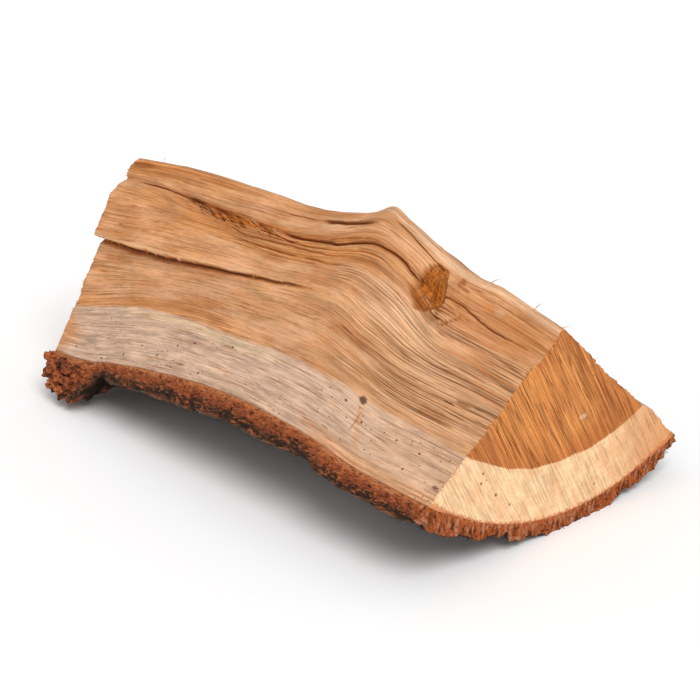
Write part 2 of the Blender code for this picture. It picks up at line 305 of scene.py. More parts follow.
PLANK_FOOT = [
    (256, 0.150), (262, 0.137), (270, 0.128), (277, 0.133), (287, 0.149), (300, 0.152), (318, 0.136),
]
FLAKE_TOP = [(258, 0.188), (274, 0.178)]
FLAKE_LINE = [(259, 0.206), (273, 0.199)]
FLAKE_FOOT = [(260, 0.240), (271, 0.236)]
LIP_SEED = 41.0
FOOT_SEED = 44.0
PLANK_SEED = 53.0
CRACKS = [
    (LIP, LIP_SEED, (8, 26, 60, 72), 0.55, 2.4, 0.5),
    (LIP, LIP_SEED, (130, 146, 241, 249), 1.45, 3.0, 0.9),
    (TORN_FOOT, FOOT_SEED, (112, 124, 146, 160), 0.80, 1.6, 0.2),
    (UPPER_RIB, 46.0, (98, 112, 180, 198), 0.75, 1.4, 0.1),
    (LOWER_RIB, 48.0, (104, 116, 156, 159), 0.80, 1.7, 0.3),
    (LOWER_RIB, 48.0, (161, 164, 190, 206), 0.80, 1.6, 0.3),
    (INNER_RIB, 58.0, (118, 136, 214, 238), 0.65, 1.2, 0.1),
    (OUTER_RIB, 59.0, (88, 108, 160, 190), 0.50, 0.8, 0.0),
    (RIDGE_FOLD, 50.0, (212, 220, 246, 254), 1.20, 1.5, 0.3),
    (RIDGE_CHIP, 50.0, (162, 168, 194, 212), 2.3, 3.0, 1.3),
    (RIDGE_SLIT, 52.0, (134, 140, 154, 160), 0.50, 1.0, 0.2),
    (PLANK_FOOT, PLANK_SEED, (256, 262, 300, 318), 0.85, 1.9, 0.7),
    (FLAKE_TOP, 55.0, (258, 261, 271, 275), 0.60, 1.2, 0.0),
    (FLAKE_LINE, 56.0, (258, 262, 268, 274), 0.45, 0.5, 0.0),
    (FLAKE_FOOT, 57.0, (259, 262, 268, 273), 0.55, 0.8, 0.0),
]
LIP_WANDER = [(0.5, 19.0, 1.0), (0.24, 4.5, 1.0)]


def lip_wander(x, seed):
    """How far a broken edge strays from its line, in mm."""
    return octaves(x, np.zeros_like(x), LIP_WANDER, seed)


def below(x, share, width, line, seed):
    """Millimetres below a line of the wide face."""
    return (share - between(line, x)) * width - lip_wander(x, seed)


def all_cracks(x, share, width):
    """Height, tuck and mask of every crack."""
    height, tuck, mask = (np.zeros(share.shape) for _ in range(3))
    for line, seed, reach, half, depth, slide in CRACKS:
        here = bump(half, half, below(x, share, width, line, seed)) * stretch(x, *reach)
        height -= depth * here
        tuck -= slide * here
        mask = np.maximum(mask, here)
    return height, tuck, mask


print(len(CRACKS), "cracks, the longest", max(reach[3] - reach[0] for _, _, reach, *_ in CRACKS), "mm")

# %% [markdown]
# ## Slab, plank, torn band and knot
# These are the larger forms of the face. The slab was lifted by the splitting and stands 8 mm proud at the
# far end, with a dark gap under its lower edge. The plank beside the ridge stands a little proud too.
# Between them the wood tore instead of parting, so a band of slanting fibres is left. At the knot the
# fibres broke off across the grain, and fan out from a point near the ridge, so the pit is drawn in polar
# measure: an angle round that point and a distance from it.

# %% Slab, plank, torn band and knot
SLAB_RISE = 8.0
SLAB_REACH = (188.0, 20.0)
SLAB_TOP = (0.10, 0.24)
SLAB_LIP = [
    (0, 0.413), (24, 0.421), (48, 0.435), (69, 0.441), (96, 0.430), (125, 0.414), (144, 0.401), (167, 0.392),
    (196, 0.400),
]
SLAB_SEED = 31.0
SLAB_GAP = (1.2, 1.7)
SLAB_GAP_REACH = (198.0, 160.0)
PLANK_RISE = 2.5
PLANK_REACH = (262.0, 236.0)
SECOND_PLANK = ((256.0, 266.0, 306.0, 322.0), (0.2, -1.4), (-13.0, -3.0))
TORN_REACH = (54.0, 68.0, 118.0, 134.0)
TORN_SLANT = 0.34
TORN_DEPTH = 2.6
TORN_STRANDS = [(3.2, 24.0, 2.6, 43.0), (0.7, 11.0, 1.3, 44.0)]
SWELLING = (3.0, 236.0, 26.0, 0.24, 0.12)
DIP = (1.8, 258.0, 272.0, 0.19, 0.16)
KNOT_BOWL = (4.0, 253.0, 11.0, 0.19, 0.12)
KNOT_PIT = 3.8
KNOT_APEX = (250.5, -6.0)
KNOT_FAN = (-16.0, -13.0, 20.0, 28.0)
KNOT_TOP = (8.0, 11.0)
KNOT_BASE = (38.5, 0.40, -2.0)
KNOT_EDGE = 1.8
KNOT_WAVER, BASE_WAVER = (2.2, 6.0, 6.0, 61.0), (1.6, 4.0, 4.0, 62.0)
KNOT_STRANDS = [(4.8, 44.0, 7.5, 63.0), (0.8, 16.0, 2.4, 64.0)]
FLAKE_EDGE = ((273.8, 21.2), (268.2, 31.2))
FLAKE_RISE = 1.8
FLAKE_GAP = 0.8
FLAKE_REACH = 13.0


def slab(x, grain, share, width):
    """Height, tuck and mask of the lifted slab and the gap under it."""
    along = fade(*SLAB_REACH, x)
    down = below(x, share, width, SLAB_LIP, SLAB_SEED)
    gap = bump(*SLAB_GAP, down) * fade(*SLAB_GAP_REACH, x)
    height = SLAB_RISE * along * fade(0.5, -0.4, down) * fade(*SLAB_TOP, grain)
    return height - (1.0 + 1.2 * np.sqrt(along)) * gap, -(0.7 + 2.0 * np.sqrt(along)) * gap, gap


def folded(along, across, strands):
    """Fibres with sharp edges: the folds of one noise, roughened by a finer one."""
    (high, *coarse), (low, *fine) = strands
    return high * np.abs(grit(along, across, *coarse)) + low * grit(along, across, *fine)


def torn_band(x, share, width):
    """Height, mask and dark gaps of the band of slanting torn fibres."""
    from_lip = below(x, share, width, LIP, LIP_SEED)
    from_foot = below(x, share, width, TORN_FOOT, FOOT_SEED)
    band = stretch(x, *TORN_REACH) * fade(-0.4, 0.5, from_lip) * fade(0.5, -0.6, from_foot)
    slanting = share * width - TORN_SLANT * x
    strands = folded(x, slanting, TORN_STRANDS)
    return band * (strands - TORN_DEPTH), band, band * fade(1.0, 0.3, strands)


def plank(x, share, width):
    """The wood above the lip stands proud, and so does the plank beyond the knot."""
    main = PLANK_RISE * fade(*PLANK_REACH, x) * fade(0.3, -2.4, below(x, share, width, LIP, LIP_SEED))
    down = below(x, share, width, PLANK_FOOT, PLANK_SEED)
    reach, foot, top = SECOND_PLANK
    return main + stretch(x, *reach) * fade(*foot, down) * fade(*top, down)


def knot_base(angle):
    """How far from the fan's point its fibres reach, at each angle."""
    return KNOT_BASE[0] - KNOT_BASE[1] * np.abs(angle - KNOT_BASE[2])


def knot(x, grain, share, width):
    """Height, mask and dark gaps of the knot: a bowl, and in it a pit of fibres that fan out."""
    rise, at_x, length, at_grain, reach = SWELLING
    height = rise * bump(at_x, length, x) * bump(at_grain, reach, grain)
    fall, start, full, low, high = DIP
    height = height - fall * fade(start, full, x) * fade(low, high, grain)
    depth, at_x, length, at_grain, reach = KNOT_BOWL
    height = height - depth * fade(1.15, 0.35, np.hypot((x - at_x) / length, (grain - at_grain) / reach))
    right, down = x - KNOT_APEX[0], share * width - KNOT_APEX[1]
    angle = np.degrees(np.arctan2(right, down)) + KNOT_WAVER[0] * grit(x, down, *KNOT_WAVER[1:])
    far = np.hypot(right, down)
    base = knot_base(angle) + BASE_WAVER[0] * grit(x, down, *BASE_WAVER[1:])
    at_base = fade(base + KNOT_EDGE, base - KNOT_EDGE, far)
    inside = stretch(angle, *KNOT_FAN) * fade(*KNOT_TOP, far) * at_base
    strands = folded(far, angle, KNOT_STRANDS)
    pit = KNOT_PIT * (1.0 - 0.45 * fade(4.0, 22.0, angle))
    return height + inside * (strands - 0.9 - pit), inside, inside * fade(1.9, 0.1, strands)


def flake(x, share, width):
    """Height and mask of a small scale of wood beside the knot, lifted along one slanting edge."""
    (ax, ac), (bx, bc) = FLAKE_EDGE
    run = math.hypot(bx - ax, bc - ac)
    across = share * width
    behind = ((bc - ac) * (ax - x) - (bx - ax) * (ac - across)) / run
    beside = ((bx - ax) * (x - ax) + (bc - ac) * (across - ac)) / run
    within = stretch(beside, -0.5, 0.4, run - 0.8, run + 0.8)
    edge = bump(-0.7, 0.95, behind) * within
    scale = FLAKE_RISE * fade(-0.5, 0.5, behind) * fade(FLAKE_REACH, 0.0, behind) * within
    return scale - FLAKE_GAP * edge, edge


fan = KNOT_FAN[3] - KNOT_FAN[0]
print("slab rises", SLAB_RISE, "mm, plank", PLANK_RISE, "mm, knot's fan opens", fan, "degrees")

# %% [markdown]
# ## Putting the wide face together
# One function adds all of it up for a grid of places, and hands back the height, the tuck and some masks.
# The masks are not shape: they say where shade is painted into gaps and cracks, where the wood is freshly
# torn and where it is finely cracked. They are stored on the mesh, point by point, and the materials read
# them, so that colour always follows form.

# %% The wide face's relief and masks
FRONT_MARGINS = (0.04, 0.93)
FRONT_WAVES = [(1.6, 95.0, 26.0, 1.0), (0.8, 60.0, 8.0, 2.0)]
CHECKED = (185.0, 270.0)
CHECKED_SHARE = (0.17, 0.25, 0.64, 0.74)
FRONT_CHECKS = (170.0, 3.4, 0.34, 71.0)
HEART_SHARE = (0.76, 0.69)
GROOVE = 1.0
RIB_HEIGHT = 0.16
RIBBED = (120.0, 170.0, 250.0, 300.0)
PRESSED_RIB = (0.75, 0.030, 0.19)
PRESSED_GRAIN = (0.17, 0.19, 0.27, 0.33)
PRESSED_REACH = (165.0, 205.0, 236.0, 262.0)
EVEN_EDGE = 0.97
EVEN_TOP = 0.03


def broad_waves(x, across, waves):
    """The long soft waves of a face, as the solid has them."""
    return sum(high * wavy(x, across, length, width, seed) for high, length, width, seed in waves)


def calmed(fine, share):
    """Fine relief that stops at the bark and is weaker at the ridge."""
    return fine * fade(1.0, EVEN_EDGE, share) * (0.35 + 0.65 * fade(0.0, EVEN_TOP, share))


def front_face(x, grain):
    """Height, tuck and masks of the wide split face."""
    share = share_of_grain(x, grain)
    width = np.linalg.norm(section(x)["down_front"], axis=-1)
    across = swayed(x, grain * FACE_WIDTH, 20.0)
    slab_height, slab_tuck, slab_gap = slab(x, grain, share, width)
    torn_height, torn, torn_gap = torn_band(x, share, width)
    knot_height, in_knot, knot_gap = knot(x, grain, share, width)
    flake_height, flake_gap = flake(x, share, width)
    height = broad_waves(x, grain * FACE_WIDTH, FRONT_WAVES) + slab_height + torn_height + knot_height
    height = height + flake_height + plank(x, share, width)
    high, step, top = PRESSED_RIB
    pressed = stretch(grain, *PRESSED_GRAIN) * stretch(x, *PRESSED_REACH)
    waver = 0.003 * grit(x, across, 70.0, 9.0, 51.0)
    round_top = np.abs(np.cos(np.pi * (grain + waver - top) / step)) ** 0.6
    height = height + high * pressed * (2.0 * round_top - 1.0)
    height = height * fade(0.0, FRONT_MARGINS[0], grain) * fade(1.0, FRONT_MARGINS[1], grain)
    crack_height, crack_tuck, crack_gap = all_cracks(x, share, width)
    height = height + crack_height * fade(0.0, 0.012, share)
    heart = fade(*HEART_SHARE, share)
    in_torn = np.maximum(in_knot, torn)
    checked = fade(*CHECKED, x) * stretch(share, *CHECKED_SHARE)
    checks = grooves(x, across, *FRONT_CHECKS) * checked
    smooth_slab = 1.0 - 0.35 * fade(150.0, 90.0, x) * fade(0.15, 0.22, share)
    fine = octaves(x, across, RIPPLES, 2.0) * (0.5 + 0.5 * heart) * smooth_slab
    fine = fine + layers(x, across, 6.0) * (0.25 + 0.75 * fade(120.0, 260.0, x) * heart)
    fine = fine + RIB_HEIGHT * ribs(x, across, 9.0) * heart * (0.5 + 0.5 * stretch(x, *RIBBED))
    height = height + calmed((fine - GROOVE * checks) * (1.0 - in_torn), grain)
    # The gap mask darkens the colour in gaps, cracks, torn strands, the knot's fibres and between ribs:
    # painted shade.
    cracks = 0.85 * np.maximum(crack_gap, flake_gap)
    in_ribs = 0.5 * pressed * fade(0.45, 0.1, round_top)
    gap = np.maximum.reduce([slab_gap, cracks, 0.9 * torn_gap, 0.85 * knot_gap, 0.5 * checks, in_ribs])
    cracked = np.maximum(checked, 0.5 * pressed)
    masks = {"gap": gap, "torn": in_torn, "knot": in_knot, "cracked": cracked}
    return {"height": height, "tuck": slab_tuck + crack_tuck, **masks}


print("wide face", span(front_face(sample_x, sample_across / FACE_WIDTH)["height"]))

# %% [markdown]
# ## The narrow split face
# The other split face is turned away. It is torn in the same way, with one long step where a layer broke
# off, a groove along the grain, and the back of the knot as a soft swelling.

# %% The narrow face's relief and masks
BACK_MARGINS = (0.38, 0.93)
BACK_WAVES = [(2.6, 90.0, 24.0, 5.0), (1.4, 55.0, 9.0, 6.0)]
BACK_CHECKS = (150.0, 3.6, 0.34, 83.0)
BACK_BEND = (6.0, 60.0, 0.3)
STEP_RISE = 4.5
STEP_REACH = (215.0, 110.0)
STEP_LINE = (0.36, 0.05)
STEP_WIDTH = 0.008
STEP_GAP = (0.014, 0.016)
STEP_TUCK = 2.2
CLEFT_DEPTH = 5.0
CLEFT_LINE = (0.62, 0.04)
CLEFT_WIDTH = 0.04
CLEFT_REACH = (10.0, 60.0, 190.0, 250.0)
BACK_SWELLING = (1.5, 46.0, 0.42, 0.22)
SWAY_LENGTH = 60.0


def back_face(x, share):
    """Height, tuck and masks of the narrow split face."""
    swell, length, at_share, reach = BACK_SWELLING
    bend = BACK_BEND[0] * bump(SWELLING[1], BACK_BEND[1], x) * bump(at_share, BACK_BEND[2], share)
    across = swayed(x, share * FACE_WIDTH + bend, 24.0)
    height = broad_waves(x, share * FACE_WIDTH, BACK_WAVES)
    step, cleft = (line + sway * np.sin(x / SWAY_LENGTH) for line, sway in (STEP_LINE, CLEFT_LINE))
    step = step + lip_wander(x, 81.0) / FACE_WIDTH
    along = bump(*STEP_REACH, x)
    height = height + STEP_RISE * along * fade(step + STEP_WIDTH, step - STEP_WIDTH, share)
    step_gap = bump(step + STEP_GAP[0], STEP_GAP[1], share) * along
    cut = stretch(x, *CLEFT_REACH) * bump(cleft, CLEFT_WIDTH, share)
    swelling = swell * bump(SWELLING[1], length, x)
    height = height - CLEFT_DEPTH * cut + swelling * bump(at_share, reach, share)
    height = height * fade(0.0, BACK_MARGINS[0], share) * fade(1.0, BACK_MARGINS[1], share)
    heart = fade(0.8, 0.7, share)
    checks = grooves(x, across, *BACK_CHECKS) * heart * fade(0.05, 0.15, share)
    fine = octaves(x, across, RIPPLES, 12.0) * (0.6 + 0.4 * heart) + layers(x, across, 16.0)
    fine = fine + RIB_HEIGHT * ribs(x, across, 19.0) - GROOVE * checks
    gap = np.maximum.reduce([step_gap, cut**3, 0.75 * checks])
    masks = {"gap": gap, "torn": 0.5 * cut, "cracked": 0.6 * heart + 0 * cut}
    return {"height": height + calmed(fine, share), "tuck": -STEP_TUCK * step_gap, **masks}


print("narrow face", span(back_face(sample_x, sample_across / FACE_WIDTH)["height"]))

# %% [markdown]
# ## One closed skin of wood
# The fine mesh is a loft, as the solid is: an outline at each station along the log, joined to the next.
# The stations crowd together at the knot, and the rows at the ridge's cracks and the two lips, because a
# mesh only shows what its points are close enough to catch. Every point also remembers where it lies along
# and across the grain.
#
# Under the bark the wood is tucked in by 2 mm, so that the broken edge of the bark shows its thickness.

# %% Stations, rows and outlines
STATIONS = 222
FRONT_ROWS = 214
ARC_ROWS = 26
BACK_ROWS = 108
RIDGE_ROWS = 8
ARC_TUCK = 2.2
ARC_TUCK_TURN = 0.12
RIDGE_FUZZ = [(0.40, 26.0, 2.0), (0.25, 9.0, 1.3)]
CLOSE_STATIONS = (SWELLING[1] + 18.0, 24.0)
CLOSE_ROWS = [(1.0, 0.045, 0.035), (1.4, 0.165, 0.08), (1.2, 0.40, 0.035)]


def station_need(u):
    x = u * LENGTH
    return 1.0 + 0.9 * bump(*CLOSE_STATIONS, x) + 0.15 * fade(230.0, 290.0, x)


def row_need(grain):
    return 1.0 + sum(more * bump(middle, half, grain) for more, middle, half in CLOSE_ROWS)


stations = spaced(STATIONS, station_need)[:, None] * LENGTH
grains = spaced(FRONT_ROWS, row_need)[None, :]
front_shares = share_of_grain(stations, grains)
back_shares = np.linspace(1.0, 0.0, BACK_ROWS)[None, :]
flat = section(stations)
front = front_face(stations, grains)
back = back_face(stations, back_shares)


def on_face(side, share, face, reach):
    """Points of a split face: down along it, out by its height and back up by its tuck."""
    top, down, out = (flat[part + side] for part in ("top_", "down_", "out_"))
    place = top + down * share[..., None]
    place[..., 1] += between(HUMP_TRIM, stations) * fade(reach, 0.0, share)
    return place + out * face["height"][..., None] + unit(down) * face["tuck"][..., None]


def wood_radius(turn):
    """Radius of the wood under the bark, a little less than the solid's except at the two corners."""
    return RING_RADIUS - ARC_TUCK * fade(0.0, ARC_TUCK_TURN, turn) * fade(1.0, 1.0 - ARC_TUCK_TURN, turn)


def round_ways(angles):
    """Directions out from the centre of the round at these angles."""
    return np.stack([np.cos(angles), np.sin(angles)], -1)


front_points = on_face("front", front_shares, front, HUMP_REACH[0])
back_points = on_face("back", back_shares + 0.0 * stations, back, HUMP_REACH[1])
turns = np.linspace(0.0, 1.0, ARC_ROWS + 2)[None, 1:-1]
angles = flat["start"] + (flat["end"] - flat["start"]) * turns
arc_points = flat["centre"] + wood_radius(turns)[..., None] * round_ways(angles)
over = np.linspace(0.0, 1.0, RIDGE_ROWS + 2)[None, 1:-1]
ridge_from, ridge_to = back_points[:, -1:], front_points[:, :1]
ridge_points = ridge_from + (ridge_to - ridge_from) * over[..., None]
crown = (RIDGE_CROWN + RIDGE_DROP / 2) * 4.0 * over * (1.0 - over)
fuzz = octaves(stations, over * RIDGE_WIDTH, RIDGE_FUZZ, 91.0) * np.sin(np.pi * over)
ridge_points[..., 1] += crown + fuzz
ring = np.concatenate([front_points, arc_points, back_points, ridge_points], axis=1)
closest = float(np.diff(stations[:, 0]).min())
print("stations", STATIONS, "points round", ring.shape[1], "closest stations", round(closest, 2), "mm")

# %% [markdown]
# ## Masks for the materials
# Sapwood is the pale outer wood. Its edge with the heartwood is a growth ring, so it is a circle seen from
# the end. Measuring every point's distance from that circle puts the change of colour in the same place on
# both split faces and on both sawn ends, as in the real tree.
#
# Hollows are found by blurring the heights across the grain and comparing: what lies below its blurred
# self is a hollow, what lies above it is a raised fibre. The materials darken hollows with painted shade
# and lighten raised fibres with a painted highlight.
#
# Where the wide face is orange and where it is bleached is painted with soft patches; along the ridge's
# edge past the slab the pale patch is partly bleaching and partly a painted highlight. A patch is an
# amount, its reach along the log in mm, and its reach down the face in shares. A reach is four places,
# and one that starts before the log or ends past it has no edge on that side.

# %% Sapwood, hollows and warmth
HEART_OFFSET = np.array([-4.5, -7.0])
SAP_LINE = [
    (0, 0.76), (35, 0.715), (70, 0.700), (90, 0.700), (124, 0.713), (160, 0.728), (211, 0.742), (245, 0.733),
    (276, 0.716), (330, 0.710),
]
BEFORE, PAST = (-9, -8), (998, 999)
RIDGE_WARMTH = [
    (0.8, (*BEFORE, 30, 120), (*BEFORE, 0.02, 0.12)),
    (0.35, (*BEFORE, 120, 175), (*BEFORE, 0.02, 0.1)),
]
WARM_PATCHES = [
    (1.0, (40, 75, 190, 262), (0.10, 0.14, 0.24, 0.31)),
    (0.6, (215, 250, *PAST), (0.90, 0.98, *PAST)),
    (0.30, (240, 300, *PAST), (*BEFORE, 0.2, 0.5)),
    (0.22, (240, 300, *PAST), (0.5, 0.8, *PAST)),
    (0.35, (*BEFORE, 30, 130), (0.12, 0.18, 0.36, 0.44)),
]
WARM_EDGE = ((-9.0, -4.0, -1.0, 1.0), (190.0, 110.0))
FAR_STAIN = (26.0, 6.0, 140.0, 0.89)
KNOT_STAIN = ((0.74, 0.83, 0.94, 1.0), (253.0, 258.0, 267.0, 273.0))
PALE_PATCHES = [
    # The ridge's edge past the slab: partly bleached wood, partly a painted highlight.
    (0.7, (190, 215, *PAST), (*BEFORE, 0.0, 0.014)),
    (0.12, (200, 280, *PAST), (0.2, 0.3, *PAST)),
    (0.35, (215, 235, 262, 290), (0.24, 0.3, 0.4, 0.5)),
]
PALE_BAND = ((0.0, 1.5, 4.0, 8.0), (35.0, 80.0, 165.0, 215.0))
PAST_KNOT = [(0.40, (258, 276, 318, 334), (0.03, 0.08, 0.17, 0.32))]
HOLLOW_REACH = 6
HOLLOW_SCALE = 1.6
HOLLOW_START, HOLLOW_MOST, RAISED_MOST = 0.12, 0.5, 0.8


def sapwood_depth(x, points):
    """Millimetres past the heartwood's edge, negative in the heartwood."""
    here = section(x)
    centre = here["centre"] + HEART_OFFSET
    edge = here["top_front"] + here["down_front"] * between(SAP_LINE, x)[..., None]
    return np.linalg.norm(points - centre, axis=-1) - np.linalg.norm(edge - centre, axis=-1)


def blurred(heights):
    """Each height replaced by the mean of its neighbours across the grain."""
    padded = np.pad(heights, ((0, 0), (HOLLOW_REACH, HOLLOW_REACH)), mode="edge")
    total = np.cumsum(np.pad(padded, ((0, 0), (1, 0))), axis=1)
    count = 2 * HOLLOW_REACH + 1
    return (total[:, count:] - total[:, :-count]) / count


def hollow_and_raised(face):
    low = (blurred(face["height"]) - face["height"]) / HOLLOW_SCALE
    hollow = np.maximum(face["gap"], np.clip(low - HOLLOW_START, 0.0, HOLLOW_MOST))
    return hollow, np.clip(-low, 0.0, RAISED_MOST) * (1.0 - 0.7 * face["torn"])


def patches(table):
    """Soft patches on the wide face, one array for each."""
    return [
        amount * stretch(stations, *along) * stretch(front_shares, *down)
        for amount, along, down in table
    ]


def front_warmth(x, share, sap):
    """Where the wide face is orange: ridge, crevice, knot, heartwood's edge, and two stains."""
    band = 0.7 * stretch(sap, *WARM_EDGE[0]) * fade(*WARM_EDGE[1], x)
    low, high, slant, middle = FAR_STAIN
    far_stain = 0.85 * fade(low, high, x + slant * np.abs(share - middle))
    beside = np.abs(x - np.interp(share, *KNOT_STAIN)) + 1.2 * grit(x, share * 100.0, 6.0, 4.0, 95.0)
    knot_stain = fade(3.8, 0.8, beside) * (0.45 * fade(0.74, 0.77, share) + 0.5 * fade(0.95, 0.99, share))
    top = sum(patches(RIDGE_WARMTH))
    warm = [top, band, far_stain, knot_stain, front["knot"], *patches(WARM_PATCHES)]
    return np.clip(np.maximum.reduce(warm), 0.0, 1.0)


def front_paleness(x, sap):
    """Where it is pale: the ridge past the slab, partly a painted highlight; the cream band in the sapwood;
    the wood near the end.
    """
    band = 0.7 * stretch(sap, *PALE_BAND[0]) * stretch(x, *PALE_BAND[1])
    return np.maximum.reduce([band, *patches(PALE_PATCHES)])


def whole_outline(front_values, back_values):
    """Values for a whole outline from those of its faces: none on the arc, and joined over the ridge."""
    arc = np.zeros((STATIONS, ARC_ROWS))
    ridge = back_values[:, -1:] + (front_values[:, :1] - back_values[:, -1:]) * over
    return np.concatenate([front_values, arc, back_values, ridge], axis=1)


sap = sapwood_depth(stations, ring)
front_sap = sap[:, :FRONT_ROWS]
for face in (front, back):
    face["hollow"], face["raised"] = hollow_and_raised(face)
front["hollow"] = front["hollow"] * (1.0 - 0.5 * fade(0.0, 3.0, front_sap))
# The plank past the knot faces away from the light, and is darkened here as painted shade.
front["hollow"] = np.maximum(front["hollow"], patches(PAST_KNOT)[0])
front["warmth"] = front_warmth(stations, front_shares, front_sap)
front["paleness"] = front_paleness(stations, front_sap)
back["warmth"] = back["paleness"] = np.zeros((STATIONS, BACK_ROWS))
MASKS = ("hollow", "raised", "torn", "cracked", "warmth", "paleness")
wood_masks = {"sapwood": sap, **{key: whole_outline(front[key], back[key]) for key in MASKS}}
print("hollow share of the wide face", round(float((front["hollow"] > 0.5).mean()), 3))

# %% [markdown]
# ## Sawn ends
# A chainsaw leaves an end that is flat but scored: long fine ridges, all one way. A fan of triangles
# between the outline's points couldn't show them, so the end is filled with points on a slanted grid,
# close together across the saw lines and far apart along them, and a triangulation joins them to the
# outline. The same function closes the ends of the wood and of the bark.
#
# Where the saw leaves the wood it tears the rim a little, more at the far end than at the near one.

# %% Fill an end with points
SAW_ANGLE = math.radians(-59.5)
SAW_ALONG = np.array([math.cos(SAW_ANGLE), math.sin(SAW_ANGLE)])
SAW_ACROSS = np.array([-SAW_ALONG[1], SAW_ALONG[0]])
SAW_RIDGES = [(0.12, 60.0, 2.9), (0.07, 36.0, 1.5), (0.10, 120.0, 8.0)]
SAW_ALLOWANCE = 0.26
FAR_SAW_SEED, NEAR_SAW_SEED = 101.0, 111.0
EDGE_ROOM = 0.5
RIM_CHIPS = [(0.9, 9.0, 1.0), (0.6, 3.4, 1.0)]
RIM_REACH = 6.0
NEAR_GRID, FAR_GRID = (3.0, 0.62), (4.0, 1.0)


def sawn_relief(points, seed):
    """Depth of the saw's scores below the flat end, in mm."""
    return SAW_ALLOWANCE - octaves(points @ SAW_ALONG, points @ SAW_ACROSS, SAW_RIDGES, seed)


def rim_chips(outline, strength, seed):
    """How far each point of an end's rim is torn back. Under the bark it isn't."""
    steps = np.linalg.norm(np.diff(outline, axis=0, prepend=outline[:1]), axis=1)
    round_rim = np.cumsum(steps)
    chips = strength * np.clip(octaves(round_rim, 0.0 * round_rim, RIM_CHIPS, seed) + 0.15, 0.0, 1.2)
    chips[FRONT_ROWS - 1 : FRONT_ROWS + ARC_ROWS + 1] = 0.0
    return chips


def inside(points, outline):
    """Which points lie inside an outline, and more than EDGE_ROOM from it."""
    crossings = np.zeros(len(points), int)
    nearest = np.full(len(points), 1e9)
    for (ay, az), (by, bz) in zip(outline, np.roll(outline, -1, axis=0)):
        spans = (az > points[:, 1]) != (bz > points[:, 1])
        if az != bz:
            crossings += spans & (points[:, 0] < (by - ay) * (points[:, 1] - az) / (bz - az) + ay)
        way = np.array([by - ay, bz - az])
        reach = np.clip(((points - (ay, az)) @ way) / max(way @ way, 1e-9), 0.0, 1.0)
        nearest = np.minimum(nearest, np.linalg.norm(points - (ay, az) - reach[:, None] * way, axis=1))
    return (crossings % 2 == 1) & (nearest > EDGE_ROOM)


def fill_end(outline, step_along, step_across):
    """Points inside an outline and the triangles that join them to it."""
    along, crosswise = outline @ SAW_ALONG, outline @ SAW_ACROSS
    rows = np.arange(crosswise.min(), crosswise.max(), step_across)
    columns = np.arange(along.min(), along.max(), step_along)
    u, v = np.meshgrid(columns, rows)
    u = u + 0.5 * step_along * (np.arange(len(rows)) % 2)[:, None]
    grid = u.reshape(-1, 1) * SAW_ALONG + v.reshape(-1, 1) * SAW_ACROSS
    grid = grid[inside(grid, outline)]
    count = len(outline)
    places = [Vector(p) for p in np.concatenate([outline, grid])]
    rim = [(k, (k + 1) % count) for k in range(count)]
    found = delaunay_2d_cdt(places, rim, [], 1, 1e-6)
    assert len(found[0]) == len(places), "the outline of an end crosses itself"
    back_to = [origins[0] for origins in found[3]]
    return grid, np.array([[back_to[k] for k in face] for face in found[2]])


def chips_inside(fill, outline, chips):
    """The rim's chips carried a short way into the end."""
    apart = np.linalg.norm(fill[:, None, :] - outline[None, :, :], axis=2)
    return chips[apart.argmin(axis=1)] * fade(3.0, 0.0, apart.min(axis=1))


near_fill, near_triangles = fill_end(ring[-1], *NEAR_GRID)
far_fill, far_triangles = fill_end(ring[0], *FAR_GRID)
near_chips, far_chips = rim_chips(ring[-1], 0.4, 151.0), rim_chips(ring[0], 1.2, 155.0)
print("near end", len(near_triangles), "triangles, far end", len(far_triangles))

# %% [markdown]
# ## From arrays to a mesh
# Blender takes the points and faces as lists. Three more things go on the mesh: the masks as named
# attributes, a UV map that lays the faces side by side with no overlap, so that the finish can be baked,
# and sharp edges round the sawn ends, so that smooth shading stops there.

# %% Build the wood
UV_SIDE = 424.0
UV_GAP = 4.0
ARC_STRIP = 8.0
ARC_FLOW = (200.0, 40.0)


def quads(rows, columns):
    """Faces between all neighbouring outlines, closed round, as point numbers."""
    i, j = np.meshgrid(np.arange(rows - 1) * columns, np.arange(columns), indexing="ij")
    k = (j + 1) % columns
    return np.stack([i + j, i + k, i + columns + k, i + columns + j], -1).reshape(-1, 4)


def strip_uv(places_u, low_v, high_v):
    """UVs of the corners of all quads between stations, for rows that run from low_v to high_v."""
    near, far = places_u[:-1, None] + 0 * low_v, places_u[1:, None] + 0 * low_v
    low, high = low_v + 0 * near, high_v + 0 * near
    return np.stack([near, low, near, high, far, high, far, low], -1).reshape(-1, 2)


def tube(places_x, outlines):
    """Points of a loft: the outlines with their places along the log put in front."""
    x = np.broadcast_to(places_x[..., None], (*outlines.shape[:2], 1))
    return np.concatenate([x, outlines], axis=-1)


